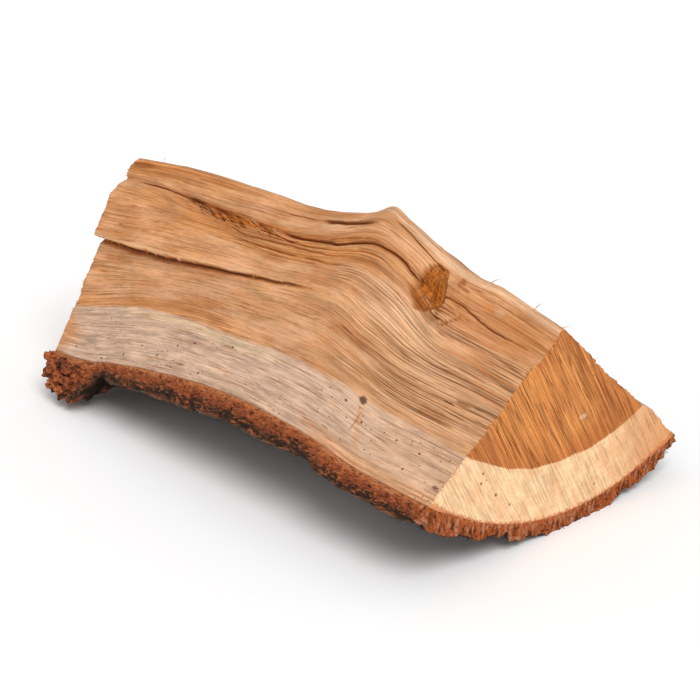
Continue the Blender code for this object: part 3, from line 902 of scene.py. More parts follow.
def new_mesh(name, points, faces, corner_uv, materials, face_material, values, sharp):
    """A mesh object from arrays: points in the log's mm, faces, a UV for each corner, masks on the points."""
    mesh = bpy.data.meshes.new(name)
    mesh.from_pydata(((points - ORIGIN) * MM).tolist(), [], [list(f) for f in faces])
    if corner_uv is not None:
        uv_map = mesh.uv_layers.new(name="OFBake").data
        uv_map.foreach_set("uv", np.ascontiguousarray(corner_uv, np.float32).ravel())
    for material in materials:
        mesh.materials.append(material)
    mesh.polygons.foreach_set("material_index", np.asarray(face_material, np.int32))
    for key, numbers in values.items():
        kind, field = ("FLOAT_VECTOR", "vector") if numbers.ndim == 2 else ("FLOAT", "value")
        flat_numbers = np.ascontiguousarray(numbers, np.float32).ravel()
        mesh.attributes.new(key, kind, "POINT").data.foreach_set(field, flat_numbers)
    mesh.shade_smooth()
    edges = np.zeros(len(mesh.edges) * 2, np.int32)
    mesh.edges.foreach_get("vertices", edges)
    rim = np.zeros(len(mesh.edges), bool)
    for chosen in sharp:
        member = np.zeros(len(points), bool)
        member[chosen] = True
        rim |= member[edges.reshape(-1, 2)].all(axis=1)
    mesh.attributes.new("sharp_edge", "BOOLEAN", "EDGE").data.foreach_set("value", rim)
    mesh.update()
    made = bpy.data.objects.new(name, mesh)
    bpy.context.scene.collection.objects.link(made)
    mesh.calc_loop_triangles()
    print(name, "has", len(mesh.loop_triangles), "triangles")
    return made


def flow_of(x, across, side):
    """The place of each point along and across the grain, with a third number that keeps faces apart."""
    return np.stack(np.broadcast_arrays(x, across, side), -1)


def wood_uv():
    """A UV for each corner of the wood's faces, in mm on a sheet."""
    front_v = RIDGE_WIDTH + UV_GAP + grains[0] * FACE_WIDTH
    arc_v = front_v[-1] + UV_GAP + np.linspace(0.0, ARC_STRIP, ARC_ROWS + 2)
    back_v = arc_v[-1] + UV_GAP + (1.0 - back_shares[0]) * FACE_WIDTH
    ridge_v = UV_GAP + np.linspace(0.0, RIDGE_WIDTH, RIDGE_ROWS + 2)
    parts = (front_v, arc_v, back_v, ridge_v)
    low_v, high_v = (np.concatenate([v[cut] for v in parts]) for cut in (slice(None, -1), slice(1, None)))
    sheets = [strip_uv(UV_GAP + stations[:, 0], low_v, high_v)]
    both = np.concatenate([ring[0], ring[-1]])
    corner = np.array([UV_GAP, back_v[-1] + UV_GAP]) - both.min(axis=0)
    beside = np.array([np.ptp(both[:, 0]) + UV_GAP, 0.0])
    ends = ((ring[0], far_fill, far_triangles), (ring[-1], near_fill, near_triangles))
    for k, (outline, fill, triangles) in enumerate(ends):
        places = np.concatenate([outline, fill]) + corner + k * beside
        sheets.append(places[triangles].reshape(-1, 2))
    return np.concatenate(sheets) / UV_SIDE


def make_wood(riven, sawn):
    """The wood as one closed mesh."""
    rows, columns = ring.shape[:2]
    shell = tube(stations, ring)
    from_near = LENGTH - stations
    shell[..., 0] += far_chips * fade(RIM_REACH, 0.0, stations) - near_chips * fade(RIM_REACH, 0.0, from_near)
    shell[0, :, 0] += sawn_relief(ring[0], FAR_SAW_SEED)
    shell[-1, :, 0] -= sawn_relief(ring[-1], NEAR_SAW_SEED)
    far_x = sawn_relief(far_fill, FAR_SAW_SEED) + chips_inside(far_fill, ring[0], far_chips)
    near_x = LENGTH - sawn_relief(near_fill, NEAR_SAW_SEED) - chips_inside(near_fill, ring[-1], near_chips)
    fills = [np.column_stack([far_x, far_fill]), np.column_stack([near_x, near_fill])]
    points = np.concatenate([shell.reshape(-1, 3), *fills])
    count, far_count = rows * columns, len(far_fill)
    first, last = np.arange(columns), (rows - 1) * columns + np.arange(columns)
    far_numbers = np.concatenate([first, count + np.arange(far_count)])
    near_numbers = np.concatenate([last, count + far_count + np.arange(len(near_fill))])
    sides = quads(rows, columns)
    faces = list(sides) + list(far_numbers[far_triangles]) + list(near_numbers[near_triangles])
    flow = [
        flow_of(stations, grains * FACE_WIDTH, 0.0),
        flow_of(stations, FACE_WIDTH + turns * ARC_FLOW[0], ARC_FLOW[1]),
        flow_of(stations, -back_shares * FACE_WIDTH - RIDGE_WIDTH, 0.0),
        flow_of(stations, -RIDGE_WIDTH * (1.0 - over), 0.0),
    ]
    end_places = ((0.0, far_fill), (LENGTH, near_fill))
    ends = [flow_of(x, fill[:, 0], fill[:, 1]) for x, fill in end_places]
    values = {"flow": np.concatenate([np.concatenate(flow, axis=1).reshape(-1, 3)] + ends), "place": points}
    for key, grid in wood_masks.items():
        tail = [np.zeros(len(fill)) for _, fill in end_places]
        if key == "sapwood":
            tail = [sapwood_depth(np.full(len(fill), x), fill) for x, fill in end_places]
        values[key] = np.concatenate([grid.ravel()] + tail)
    kinds = [0] * len(sides) + [1] * (len(far_triangles) + len(near_triangles))
    return new_mesh("log_wood", points, faces, wood_uv(), [riven, sawn], kinds, values, [first, last])


print("the wood's sides have", len(quads(*ring.shape[:2])), "faces")

# %% [markdown]
# ## Bark
# Bark breaks off in plates. Furrows run along the log between them and cracks cross over, and the broken
# edges along the split faces are ragged and crumbly. The sheet is lofted like the wood. Its inner side
# lies on the wood, its outer side is pushed out by its own thickness, and the points of both broken edges
# are shaken a little. Where the log's weight rests, the bark is pressed flat on the ground.

# %% Bark thickness
BARK_FRONT = [(0, 10), (40, 11), (100, 13), (190, 13.5), (260, 12.5), (330, 11.5)]
BARK_BOTTOM, BOTTOM_TURN = 6.0, 0.35
BARK_BACK, BACK_TURN = 9.0, 0.55
BARK_ROOM = 3.0
BARK_WIDTH = 200.0
BARK_LEAST = 1.5
PLATES = (2.2, 40.0, 18.0)
FURROWS = (3.2, 58.0, 21.0)
CRACK_LINES = (2.6, 24.0, 60.0)
FURROW_SHARPNESS, CRACK_SHARPNESS = 0.2, 0.1
FOOT_DEPTH = 5.0
FOOT_PLACE = (-12.0, 42.0)
FAR_FOOT, NEAR_FOOT = (75.0, 45.0), (255.0, 290.0)
CLUMP_DEPTH = 13.0
CLUMP_START, CLUMP_LENGTH = (-12.0, 16.0), (46.0, 34.0)
CLUMP_TURN = (0.16, 0.03)
CLUMP_LUMPS = (0.6, 9.0, 8.0)
CLUMP_CRUMBS = [(1.6, 7.0, 6.0), (0.9, 3.4, 3.0)]
BARK_CRUMBS = [(0.50, 7.0, 3.4), (0.38, 3.6, 2.4), (0.22, 2.2, 1.6)]
BARK_STRANDS = (0.9, 20.0, 4.4)
FLAKES = [(1.6, 28.0, 9.0)]
FLAKE_HEIGHT, FLAKE_STEP = 0.9, (0.35, 0.65)
END_TEETH = [(1.2, 30.0, 4.2), (0.8, 30.0, 1.9)]
END_REACH = 18.0


def bark_thickness(x, turn, y):
    """Thickness of the bark, and masks of its furrows and of the clump, from the front edge to the back."""
    around = turn * BARK_WIDTH
    front_edge = between(BARK_FRONT, x)
    thick = front_edge + (BARK_BOTTOM - front_edge) * fade(0.0, BOTTOM_TURN, turn)
    thick = thick + (BARK_BACK - BARK_BOTTOM) * fade(BACK_TURN, 1.0, turn)
    thick = thick + PLATES[0] * wavy(x, around, *PLATES[1:], 13.0)
    furrow = fade(FURROW_SHARPNESS, 0.0, np.abs(wavy(x, around, *FURROWS[1:], 11.0)))
    crack = fade(CRACK_SHARPNESS, 0.0, np.abs(wavy(x, around, *CRACK_LINES[1:], 12.0)))
    thick = thick - np.maximum(FURROWS[0] * furrow, CRACK_LINES[0] * crack)
    thick = thick + FOOT_DEPTH * bump(*FOOT_PLACE, y) * (fade(*FAR_FOOT, x) + fade(*NEAR_FOOT, x))
    clump = fade(*CLUMP_START, x) * fade(*CLUMP_LENGTH, x) * fade(*CLUMP_TURN, turn)
    lumps = 1.0 + CLUMP_LUMPS[0] * wavy(x, around, *CLUMP_LUMPS[1:], 14.0)
    thick = thick + clump * (CLUMP_DEPTH * lumps + octaves(x, around, CLUMP_CRUMBS, 126.0))
    fine = octaves(x, around, BARK_CRUMBS, 120.0)
    fine = fine + BARK_STRANDS[0] * (0.5 - np.abs(grit(x, around, *BARK_STRANDS[1:], 118.0)))
    fine = fine + FLAKE_HEIGHT * stepped(octaves(x, around, FLAKES, 124.0), FLAKE_STEP)
    to_end = np.minimum(x, LENGTH - x)
    fine = fine + fade(END_REACH, 0.0, to_end) * octaves(x, around, END_TEETH, 128.0)
    return np.maximum(thick + fine, BARK_LEAST), np.maximum(furrow, crack), clump


trial_turn = np.linspace(0.0, 1.0, 90)[None, :]
print("bark is", span(bark_thickness(sample_x, trial_turn, -110.0 + 196.0 * trial_turn)[0]), "thick")

# %% [markdown]
# An outline of the bark runs once round the sheet: along the outer side, over the back edge, back along
# the inner side and over the front edge. Both edges are where the splitting broke the bark. So they
# stray from a straight line, and their points are shaken finely.

# %% Bark outlines
BARK_SEAT = 0.03
BARK_EDGE_SHIFT = 1.0
BARK_EDGE_WAVE = (1.6, 16.0)
BARK_EDGE_TEETH = [(0.55, 5.0, 1.0), (0.40, 2.2, 1.0)]
BARK_SHAKE = [(0.75, 5.0, 2.6), (0.60, 2.6, 1.8), (0.30, 1.7, 1.2)]
BARK_STATIONS = 290
BARK_ROWS = 158
INNER_ROWS = 28
EDGE_ROWS = 12
EDGE_SPAN = 9.0


def ragged(x, seed):
    """How far a broken edge of the bark strays, in mm."""
    rest = np.zeros_like(x)
    coarse = BARK_EDGE_SHIFT + BARK_EDGE_WAVE[0] * wavy(x, rest, BARK_EDGE_WAVE[1], 1.0, seed)
    return coarse + octaves(x, rest, BARK_EDGE_TEETH, seed)


def bark_outline(x):
    """Outlines of the bark, round the outer side, back edge, inner side and front edge, with their masks."""
    here = section(x)
    start = here["start"] - ragged(x, 15.0) / RING_RADIUS
    end = here["end"] + ragged(x, 16.0) / RING_RADIUS

    def at(turn, rise):
        radius = RING_RADIUS + BARK_SEAT + rise
        return here["centre"] + radius[..., None] * round_ways(start + (end - start) * turn)

    turn = np.linspace(0.0, 1.0, BARK_ROWS)[None, :]
    inner_turn = np.linspace(1.0, 0.0, INNER_ROWS)[None, :]
    part = np.linspace(0.0, 1.0, EDGE_ROWS + 2)[None, 1:-1]
    thick, furrow, clump = bark_thickness(x, turn, at(turn, 0.0 * x * turn)[..., 0])
    outer = at(turn, thick)
    outer[..., 0] = np.clip(outer[..., 0], LOWEST_Y - BARK_ROOM, HIGHEST_Y + BARK_ROOM)
    outer[..., 1] = np.maximum(outer[..., 1], GROUND)
    wood_turn = (start + (end - start) * inner_turn - here["start"]) / (here["end"] - here["start"])
    inner = at(inner_turn, wood_radius(wood_turn) - RING_RADIUS)
    edges, dents = [], []
    for a, b, seed in ((outer[:, -1:], inner[:, :1], 131.0), (inner[:, -1:], outer[:, :1], 135.0)):
        shake = octaves(x, part * EDGE_SPAN, BARK_SHAKE, seed) * np.sin(np.pi * part)
        dents.append(fade(-0.1, -0.9, shake))
        outwards = unit(np.stack([(b - a)[..., 1], -(b - a)[..., 0]], -1))
        edges.append(a + (b - a) * part[..., None] + outwards * shake[..., None])
    none, one = np.zeros((len(x), 1)), np.ones((len(x), 1))
    side, inside_row = none + 0 * part, none + 0 * inner_turn
    parts = {
        "depth": (none + 1 + 0 * turn, one - part, inside_row, one * part),
        "broken": (bump(0.0, 0.02, turn) + bump(1.0, 0.02, turn) + none, side + 1, inside_row + 1, side + 1),
        "hollow": (furrow, dents[0], inside_row, dents[1]),
        "clump": (clump, side, inside_row, side + clump[:, :1]),
        "around": (turn + none, side + 1, inner_turn + none, side),
        "thick": (thick, (1 - part) * thick[:, -1:], inside_row, part * thick[:, :1]),
    }
    joined = {key: np.concatenate(pieces, axis=1) for key, pieces in parts.items()}
    return np.concatenate([outer, edges[0], inner, edges[1]], axis=1), joined


bark_x = np.linspace(0.0, LENGTH, BARK_STATIONS)[:, None]
bark_ring, bark_masks = bark_outline(bark_x)
bark_flow = flow_of(bark_x, bark_masks.pop("around") * BARK_WIDTH, bark_masks.pop("thick"))
print("bark outline has", bark_ring.shape[1], "points")

# %% [markdown]
# The bark's ends are sawn with the wood, but the saw tears bark more than it cuts it. So its end outlines
# are chipped back a little, most at the outside, in strands that point away from the heart of the log.

# %% Build the bark
BARK_UV_SIDE = 520.0
BARK_UV_HEIGHT = 300.0
BARK_GRID = (1.3, 0.8)
BARK_ENDS = [(0, 1.0, 141.0, 310.0), (BARK_STATIONS - 1, -1.0, 145.0, 400.0)]
CHIP_DEPTH, CHIP_REACH = 2.4, 9.0
CHIPS = [(0.5, 7.0, 5.0), (0.45, 6.0, 1.6), (0.2, 1.8, 1.8)]
DEEP_CHIP = (1.9, 3.1)


def chipped(x, places, seed):
    """How far the end of the bark is torn back from the saw's plane, and the share of the way out."""
    from_centre = places - section([[x]])["centre"][0, 0]
    far_out = np.linalg.norm(from_centre, axis=1)
    round_about = np.arctan2(from_centre[:, 1], from_centre[:, 0]) * RING_RADIUS
    depth = np.clip((far_out - RING_RADIUS + ARC_TUCK) / (BARK_FRONT[-1][1] + ARC_TUCK), 0.0, 1.0)
    rough = 0.45 + octaves(far_out, round_about, CHIPS, seed)
    return CHIP_DEPTH * np.clip(rough, 0.0, 1.3) * fade(0.0, 0.45, depth), depth


def make_bark(outside, broken_bark):
    """The bark as one closed mesh. An end is given as (row, way in, seed, place on the UV sheet)."""
    rows, columns = bark_ring.shape[:2]
    shell = tube(bark_x, bark_ring)
    for row, sign, seed, _ in BARK_ENDS:
        x = float(bark_x[row, 0])
        torn_back = chipped(x, bark_ring[row], seed)[0]
        shell[..., 0] += sign * torn_back * fade(CHIP_REACH, 0.0, np.abs(bark_x - x))
    sides = quads(rows, columns)
    v = np.linspace(0.0, BARK_UV_HEIGHT, columns + 1)
    points, faces, flow = [shell.reshape(-1, 3)], list(sides), [bark_flow.reshape(-1, 3)]
    masks = {key: [grid.ravel()] for key, grid in bark_masks.items()}
    uvs = [strip_uv(bark_x[:, 0] + UV_GAP, v[:-1], v[1:])]
    rims, count = [], rows * columns
    for row, sign, seed, lift in BARK_ENDS:
        x = float(bark_x[row, 0])
        fill, triangles = fill_end(bark_ring[row], *BARK_GRID)
        torn_back, depth = chipped(x, fill, seed)
        numbers = np.concatenate([row * columns + np.arange(columns), count + np.arange(len(fill))])
        rims.append(numbers[:columns])
        points.append(np.column_stack([x + sign * torn_back, fill]))
        flow.append(flow_of(x, fill[:, 0], fill[:, 1]))
        # Deep chips are marked as hollows, which the material darkens as painted shade.
        deep = fade(*DEEP_CHIP, torn_back)
        extra = {"depth": depth, "broken": 1.0 + 0 * depth, "hollow": deep, "clump": 0 * depth}
        for key in masks:
            masks[key].append(extra[key])
        faces += list(numbers[triangles])
        places = np.concatenate([bark_ring[row], fill])
        uvs.append((places - places.min(axis=0) + [UV_GAP, lift])[triangles].reshape(-1, 2))
        count += len(fill)
    points = np.concatenate(points)
    values = {"flow": np.concatenate(flow), "place": points}
    values.update({key: np.concatenate(parts) for key, parts in masks.items()})
    outer_faces = (sides % columns < BARK_ROWS).all(axis=1)
    kinds = np.concatenate([np.where(outer_faces, 0, 1), np.ones(len(faces) - len(sides), int)])
    uv = np.concatenate(uvs) / BARK_UV_SIDE
    return new_mesh("log_bark", points, faces, uv, [outside, broken_bark], kinds, values, rims)


print("the bark's sides have", len(quads(*bark_ring.shape[:2])), "faces")

# %% [markdown]
# ## Splinters
# Freshly riven wood bristles. Fibres stand off the torn places, hang over the lips and poke out of the
# ridge. Each one here is a small closed mesh: a thin four-sided rod along a bent path, with a point at
# both ends. Hundreds of them go into one mesh, placed by a seeded random draw, so they fall the same way
# on every run. Nothing goes below the ground: a point that would is lifted to it.

# %% One splinter, and a place for it
SPLINTER_POINTS = 6


class Bundle:
    """Collects many small closed pieces into one mesh."""

    def __init__(self):
        self.points, self.faces, self.values, self.count = [], [], [], 0

    def add(self, points, faces, shade):
        points[:, 2] = np.maximum(points[:, 2], GROUND)
        self.points.append(points)
        self.faces += [[k + self.count for k in face] for face in faces]
        self.values.append(np.full(len(points), shade))
        self.count += len(points)

    def splinter(self, path, width, thick, shade):
        """A fibre along a path of points: a thin rod, pointed at both ends."""
        ahead = unit(np.gradient(path, axis=0))
        side = unit(np.cross(ahead, (0.3, 0.5, 0.81)))
        up = np.cross(ahead, side)
        taper = np.sin(np.linspace(0.08, np.pi - 0.08, len(path)))[:, None] ** 0.7
        ways = ((1, 0), (0, 1), (-1, 0), (0, -1))
        corners = [path + taper * (side * a * width / 2 + up * b * thick / 2) for a, b in ways]
        points = np.stack(corners, axis=1).reshape(-1, 3)
        last = len(points) - 4
        faces = quads(len(path), 4).tolist() + [[3, 2, 1, 0], [last, last + 1, last + 2, last + 3]]
        self.add(points, faces, shade)

    def build(self, name, material):
        points = np.concatenate(self.points)
        values = {"shade": np.concatenate(self.values), "flow": points}
        return new_mesh(name, points, self.faces, None, [material], [0] * len(self.faces), values, [])


def on_wood(x, share, lift=0.0):
    """A point on the wide face's fine mesh, lifted off it by so many mm."""
    grain = np.interp(share, share_of_grain(np.array([[x]]), grains)[0], grains[0])
    i = np.interp(x, stations[:, 0], np.arange(STATIONS))
    j = np.interp(grain, grains[0], np.arange(FRONT_ROWS))
    i0, j0 = min(int(i), STATIONS - 2), min(int(j), FRONT_ROWS - 2)
    u, v = i - i0, j - j0
    corners = front_points[i0 : i0 + 2, j0 : j0 + 2]
    weights = np.array([[(1 - u) * (1 - v), (1 - u) * v], [u * (1 - v), u * v]])
    place = (corners * weights[..., None]).sum(axis=(0, 1)) + flat["out_front"][i0, 0] * lift
    return np.array([x, *place])


def face_width(x):
    return float(np.linalg.norm(section([[x]])["down_front"]))


def laid(x, share, length, slant, lifts):
    """A path that lies on the wide face, slanting down by so much for each mm along, lifted from and to."""
    steps = np.linspace(0.0, 1.0, SPLINTER_POINTS)
    rises = lifts[0] + (lifts[1] - lifts[0]) * steps**1.6
    shares_along = np.clip(share + slant * length * steps / face_width(x), 0.0, 1.0)
    return np.array([on_wood(x + length * t, s, lift) for t, s, lift in zip(steps, shares_along, rises)])


def standing(start, direction, length, curl):
    """A path that leaves a point in a direction and bends a little."""
    steps = np.linspace(-0.15, 1.0, SPLINTER_POINTS)[:, None]
    straight = start + unit(np.array(direction, float)) * length * steps
    return straight + np.array(curl) * np.maximum(steps, 0.0) ** 2


print("one splinter has", len(quads(SPLINTER_POINTS, 4)) + 2, "faces")

# %% [markdown]
# The splinters come in sets, one for each place that the eye finds them: the torn band, the frayed tuft at
# its end, the knot, the slab's lip, the rims of the sawn ends, all over the face, and a few single ones on
# the ridge. A single one is its place along the log, its direction, length, width and tone.

# %% Make the splinters
RIDGE_SPLINTERS = [
    (22.0, (0.15, 0.1, 1.0), 5.0, 0.35, 0.15),
    (278.0, (0.9, 0.2, 0.75), 7.5, 0.7, 0.95),
    (309.0, (0.6, 0.3, 0.9), 6.5, 0.6, 0.9),
    (327.0, (1.0, 0.35, 0.5), 6.5, 0.7, 0.95),
    (150.0, (0.8, -0.2, 0.3), 4.0, 0.4, 0.8),
    (96.0, (-0.7, 0.1, 0.5), 3.0, 0.35, 0.6),
]


def make_splinters(material):
    draws = np.random.default_rng(11)
    draw = draws.uniform
    bundle = Bundle()
    for _ in range(44):
        x = draw(58, 126)
        share = draw(between(LIP, x) + 0.004, max(between(TORN_FOOT, x), between(LIP, x) + 0.01))
        lifts = (-0.3, draw(0.4, 1.6))
        path = laid(x, share, draw(6, 17), draw(0.12, 0.42), lifts)
        bundle.splinter(path, draw(0.7, 1.7), 0.5, draw(0.25, 0.9))
    for _ in range(26):
        x = draw(108, 134)
        share = between(LIP, x) + draw(-0.008, 0.012)
        path = laid(x, share, draw(4, 9), draw(0.10, 0.35), (-0.3, draw(0.3, 1.3)))
        bundle.splinter(path, draw(0.4, 0.8), 0.35, draw(0.5, 1.0))
    for _ in range(16):
        degrees, near, far = draw(-14, 18), draw(10, 20), draw(24, 38)
        angle = math.radians(degrees)
        reaches = np.linspace(near, min(far, knot_base(degrees) - 0.5), SPLINTER_POINTS)
        lifts = np.linspace(draw(-0.1, 0.4), draw(0.0, 1.2), SPLINTER_POINTS)
        xs = KNOT_APEX[0] + reaches * math.sin(angle)
        shares_there = (KNOT_APEX[1] + reaches * math.cos(angle)) / face_width(KNOT_APEX[0])
        path = np.array([on_wood(*place) for place in zip(xs, shares_there, lifts)])
        bundle.splinter(path, draw(0.5, 1.2), 0.5, draw(0.3, 0.65))
    for _ in range(60):
        x = draw(3, 180)
        start = on_wood(x, between(SLAB_LIP, x) - 0.008)
        direction = (draw(0.5, 1.0), draw(-0.35, 0.0), draw(-0.75, -0.1))
        bundle.splinter(standing(start, direction, draw(1.5, 4.5), (0, 0, -0.5)), 0.32, 0.25, draw(0.2, 0.9))
    for _ in range(110):
        share = draw(0.0, 0.98)
        near = draws.random() < 0.5
        start = on_wood(LENGTH - 0.8 if near else 1.8, share)
        direction = (1.0 if near else -1.0, draw(-0.6, 0.3), draw(-0.4, 0.5))
        bundle.splinter(standing(start, direction, draw(0.8, 2.6), (0, 0, -0.2)), 0.34, 0.28, draw(0.3, 1.0))
    for _ in range(150):
        x, share = draw(4, 300), draw(0.03, 0.95)
        path = laid(x, share, draw(6, 20), draw(-0.03, 0.03), (-0.15, draw(0.1, 0.5)))
        bundle.splinter(path, draw(0.25, 0.5), 0.25, draw(0.3, 0.95))
    for x, direction, length, width, shade in RIDGE_SPLINTERS:
        start = np.array([x, between(RIDGE, x), between(RIDGE, x, 2) + between(HUMP_TRIM, x) + 0.6])
        bundle.splinter(standing(start, direction, length, (0.4, 0.2, -0.6)), width, 0.5 * width, shade)
    return bundle.build("log_splinters", material)


print("splinters set one by one:", len(RIDGE_SPLINTERS))

# %% [markdown]
# ## Crumbs
# Bark crumbles where it is broken. Lumps of it sit on the thick corner at the far end, and small crumbs
# all along the broken edges. A lump is a ball made from a subdivided icosahedron, squashed and dented by
# noise. The short fibres that bark also sheds are splinters again, only smaller.
#
# A lump of the corner is its place along the log, its turn round it, how far out it sits, and its radius.

# %% Make the crumbs
CLUMP_LUMP_PLACES = [
    (0.5, -0.004, 4.0, 4.2), (6.0, -0.010, 9.0, 4.4), (2.0, -0.002, 13.0, 4.0), (12.0, -0.008, 5.0, 3.6),
    (14.0, -0.012, 13.0, 4.6), (9.0, -0.006, 18.0, 3.8), (20.0, -0.010, 8.0, 4.0), (23.0, -0.008, 15.0, 4.2),
    (17.0, -0.004, 20.0, 3.6), (30.0, -0.008, 11.0, 3.2), (28.0, -0.004, 5.0, 2.8), (36.0, -0.004, 8.0, 2.6),
]
DENTS = ((1.6, 0.55), (3.6, 0.45), (8.0, 0.22))


def icosphere(subdivisions):
    """Points and faces of a ball of radius 1."""
    ball = bmesh.new()
    bmesh.ops.create_icosphere(ball, subdivisions=subdivisions, radius=1.0)
    points = np.array([v.co[:] for v in ball.verts])
    faces = [[v.index for v in f.verts] for f in ball.faces]
    ball.free()
    return points, faces


def lump(ball, centre, radius, squash, seed):
    """A dented ball. Each size of dent has the noise moved along an axis of its own."""
    swell = 1.0
    for axis, (closeness, depth) in enumerate(DENTS):
        moved = Vector([seed if k == axis else 0.0 for k in range(3)])
        swell = swell + depth * np.array([noise.noise(Vector(p) * closeness + moved) for p in ball])
    return centre + ball * swell[:, None] * radius * np.array(squash)


def make_crumbs(material):
    draws = np.random.default_rng(23)
    draw, pick = draws.uniform, draws.integers
    bundle = Bundle()
    coarse, fine = icosphere(2), icosphere(3)
    for k, (x, turn, rise, radius) in enumerate(CLUMP_LUMP_PLACES):
        here = section([[x]])
        angle = float((here["start"] + (here["end"] - here["start"]) * turn)[0, 0])
        place = here["centre"][0, 0] + (RING_RADIUS + rise) * round_ways(angle)
        place = np.array([x, max(place[0], LOWEST_Y + radius), max(place[1], GROUND + radius)])
        bundle.add(lump(fine[0], place, 0.95 * radius, (1.15, 0.9, 0.9), 3.1 * k), fine[1], draw(0.15, 0.9))
    rows, columns = bark_ring.shape[:2]
    for k in range(120):
        row, step = pick(2, rows - 2), pick(0, EDGE_ROWS)
        column = columns - 1 - step if draws.random() < 0.75 else BARK_ROWS + step
        place = np.array([bark_x[row, 0], *bark_ring[row, column]])
        radius = draw(0.4, 1.1)
        place[2] = max(place[2], GROUND + radius)
        points = lump(coarse[0], place, radius, (1.9, 0.7, 0.6), 5.0 + 1.7 * k)
        bundle.add(points, coarse[1], draw(0.3, 0.75))
    heart = section([[LENGTH]])["centre"][0, 0]
    for _ in range(260):
        near = draws.random() < 0.55
        row = rows - 1 if near else pick(4, rows - 4)
        column = pick(0, BARK_ROWS) if near else columns - 1 - pick(0, EDGE_ROWS)
        place = bark_ring[row, column]
        if near:
            place = place - unit(place - heart) * draw(0.6, 6.0)
        start = np.array([bark_x[row, 0] - 1.6 * near, *place])
        start[2] = max(start[2], GROUND + 1.0)
        along = draw(0.2, 1.0) if near else draw(-1, 1)
        direction = (along, draw(-1, 0.2), draw(-0.6, 0.6))
        bundle.splinter(standing(start, direction, draw(1.2, 3.0), (0, 0, -0.2)), 0.5, 0.4, draw(0.0, 0.8))
    return bundle.build("log_crumbs", material)


print("lumps on the thick corner:", len(CLUMP_LUMP_PLACES))

# %% [markdown]
# ## A short hand for nodes
# Materials here are node trees of a dozen nodes or more. Writing each node and link out in full hides the
# idea, so a small helper makes a node, sets its inputs and links what is already a socket. Colour is then
# built up like paint: a first coat, and over it coats that each have a mask, a colour and an amount.

# %% Node helper
class Graph:
    """A short hand for building a node tree."""

    def __init__(self, tree):
        self.tree = tree

    def feed(self, socket, value):
        if isinstance(value, bpy.types.NodeSocket):
            self.tree.links.new(value, socket)
        else:
            socket.default_value = value

    def node(self, kind, inputs, **settings):
        made = self.tree.nodes.new(kind)
        for key, value in settings.items():
            setattr(made, key, value)
        for key, value in inputs.items():
            self.feed(made.inputs[key], value)
        return made

    def math(self, operation, a, b=0.0):
        return self.node("ShaderNodeMath", {0: a, 1: b}, operation=operation).outputs[0]

    def plus(self, a, b):
        return self.math("ADD", a, b)

    def minus(self, a, b):
        return self.math("SUBTRACT", a, b)

    def times(self, a, b):
        return self.math("MULTIPLY", a, b)

    def strayed(self, value, by, reach):
        """A value pushed up and down by a noise, so that an edge made from it is uneven."""
        return self.plus(value, self.times(self.minus(by, 0.5), reach))

    def vector(self, operation, a, b=(0.0, 0.0, 0.0)):
        return self.node("ShaderNodeVectorMath", {0: a, 1: b}, operation=operation).outputs

    def length(self, vector):
        return self.vector("LENGTH", vector)["Value"]

    def joined(self, x, y, z):
        return self.node("ShaderNodeCombineXYZ", {0: x, 1: y, 2: z}).outputs[0]

    def parted(self, vector):
        return self.node("ShaderNodeSeparateXYZ", {0: vector}).outputs

    def scaled(self, vector, x, y, z):
        return self.vector("MULTIPLY", vector, self.joined(x, y, z))[0]

    def ramp(self, value, low, high, to_low=0.0, to_high=1.0):
        inputs = {"Value": value, "From Min": low, "From Max": high, "To Min": to_low, "To Max": to_high}
        return self.node("ShaderNodeMapRange", inputs, interpolation_type="SMOOTHSTEP").outputs[0]

    def mix(self, share, a, b, amount=1.0, blend="MIX"):
        if amount != 1.0:
            share = self.times(share, amount)
        settings = {"data_type": "RGBA", "blend_type": blend, "clamp_factor": True}
        return self.node("ShaderNodeMix", {0: share, 6: a, 7: b}, **settings).outputs[2]

    def coats(self, colour, *coats):
        """A colour with coats over it, each given as (mask, colour, amount)."""
        for mask, coat, amount in coats:
            colour = self.mix(mask, colour, coat, amount)
        return colour

    def attribute(self, name, output="Fac"):
        return self.node("ShaderNodeAttribute", {}, attribute_name=name).outputs[output]

    def noise(self, vector, scale=1.0, detail=2.0, roughness=0.5):
        inputs = {"Vector": vector, "Scale": scale, "Detail": detail, "Roughness": roughness}
        return self.node("ShaderNodeTexNoise", inputs).outputs[0]

    def group(self, tree, *inputs):
        made = self.tree.nodes.new("ShaderNodeGroup")
        made.node_tree = tree
        for socket, value in zip(made.inputs, inputs):
            self.feed(socket, value)
        return made.outputs[0]

    def groups(self, tree, place, table):
        """One group at one place, once for each row of a table of its other inputs."""
        return {name: self.group(tree, place, *row) for name, row in table.items()}


def new_group(name, inputs, output):
    """An empty node group with named sockets, as (tree, graph, inputs, output socket)."""
    tree = bpy.data.node_groups.new(name, "ShaderNodeTree")
    for kind, sockets in (("INPUT", inputs), ("OUTPUT", output)):
        for socket, value_type in sockets.items():
            tree.interface.new_socket(socket, in_out=kind, socket_type="NodeSocket" + value_type)
    came_in = tree.nodes.new("NodeGroupInput")
    return tree, Graph(tree), came_in.outputs, tree.nodes.new("NodeGroupOutput").inputs[0]


def linear(red, green, blue):
    """A colour as a screen shows it, 0 to 255, made linear for the shader."""
    parts = [v / 255 for v in (red, green, blue)]
    return (*[v / 12.92 if v <= 0.04045 else ((v + 0.055) / 1.055) ** 2.4 for v in parts], 1.0)


print("helpers ready, mid grey is", round(linear(128, 128, 128)[0], 3))

# %% [markdown]
# ## Node groups shared by the materials
# Some effects come back in several materials, so each is a node group with named inputs and one output.
# Fibres show as streaks: noise that is stretched along the grain, for colour and for relief. Where such
# a noise crosses its middle it gives thin lines, which serve as fine cracks, dark or pale as they are
# painted. A second, wider noise breaks them into short lengths.

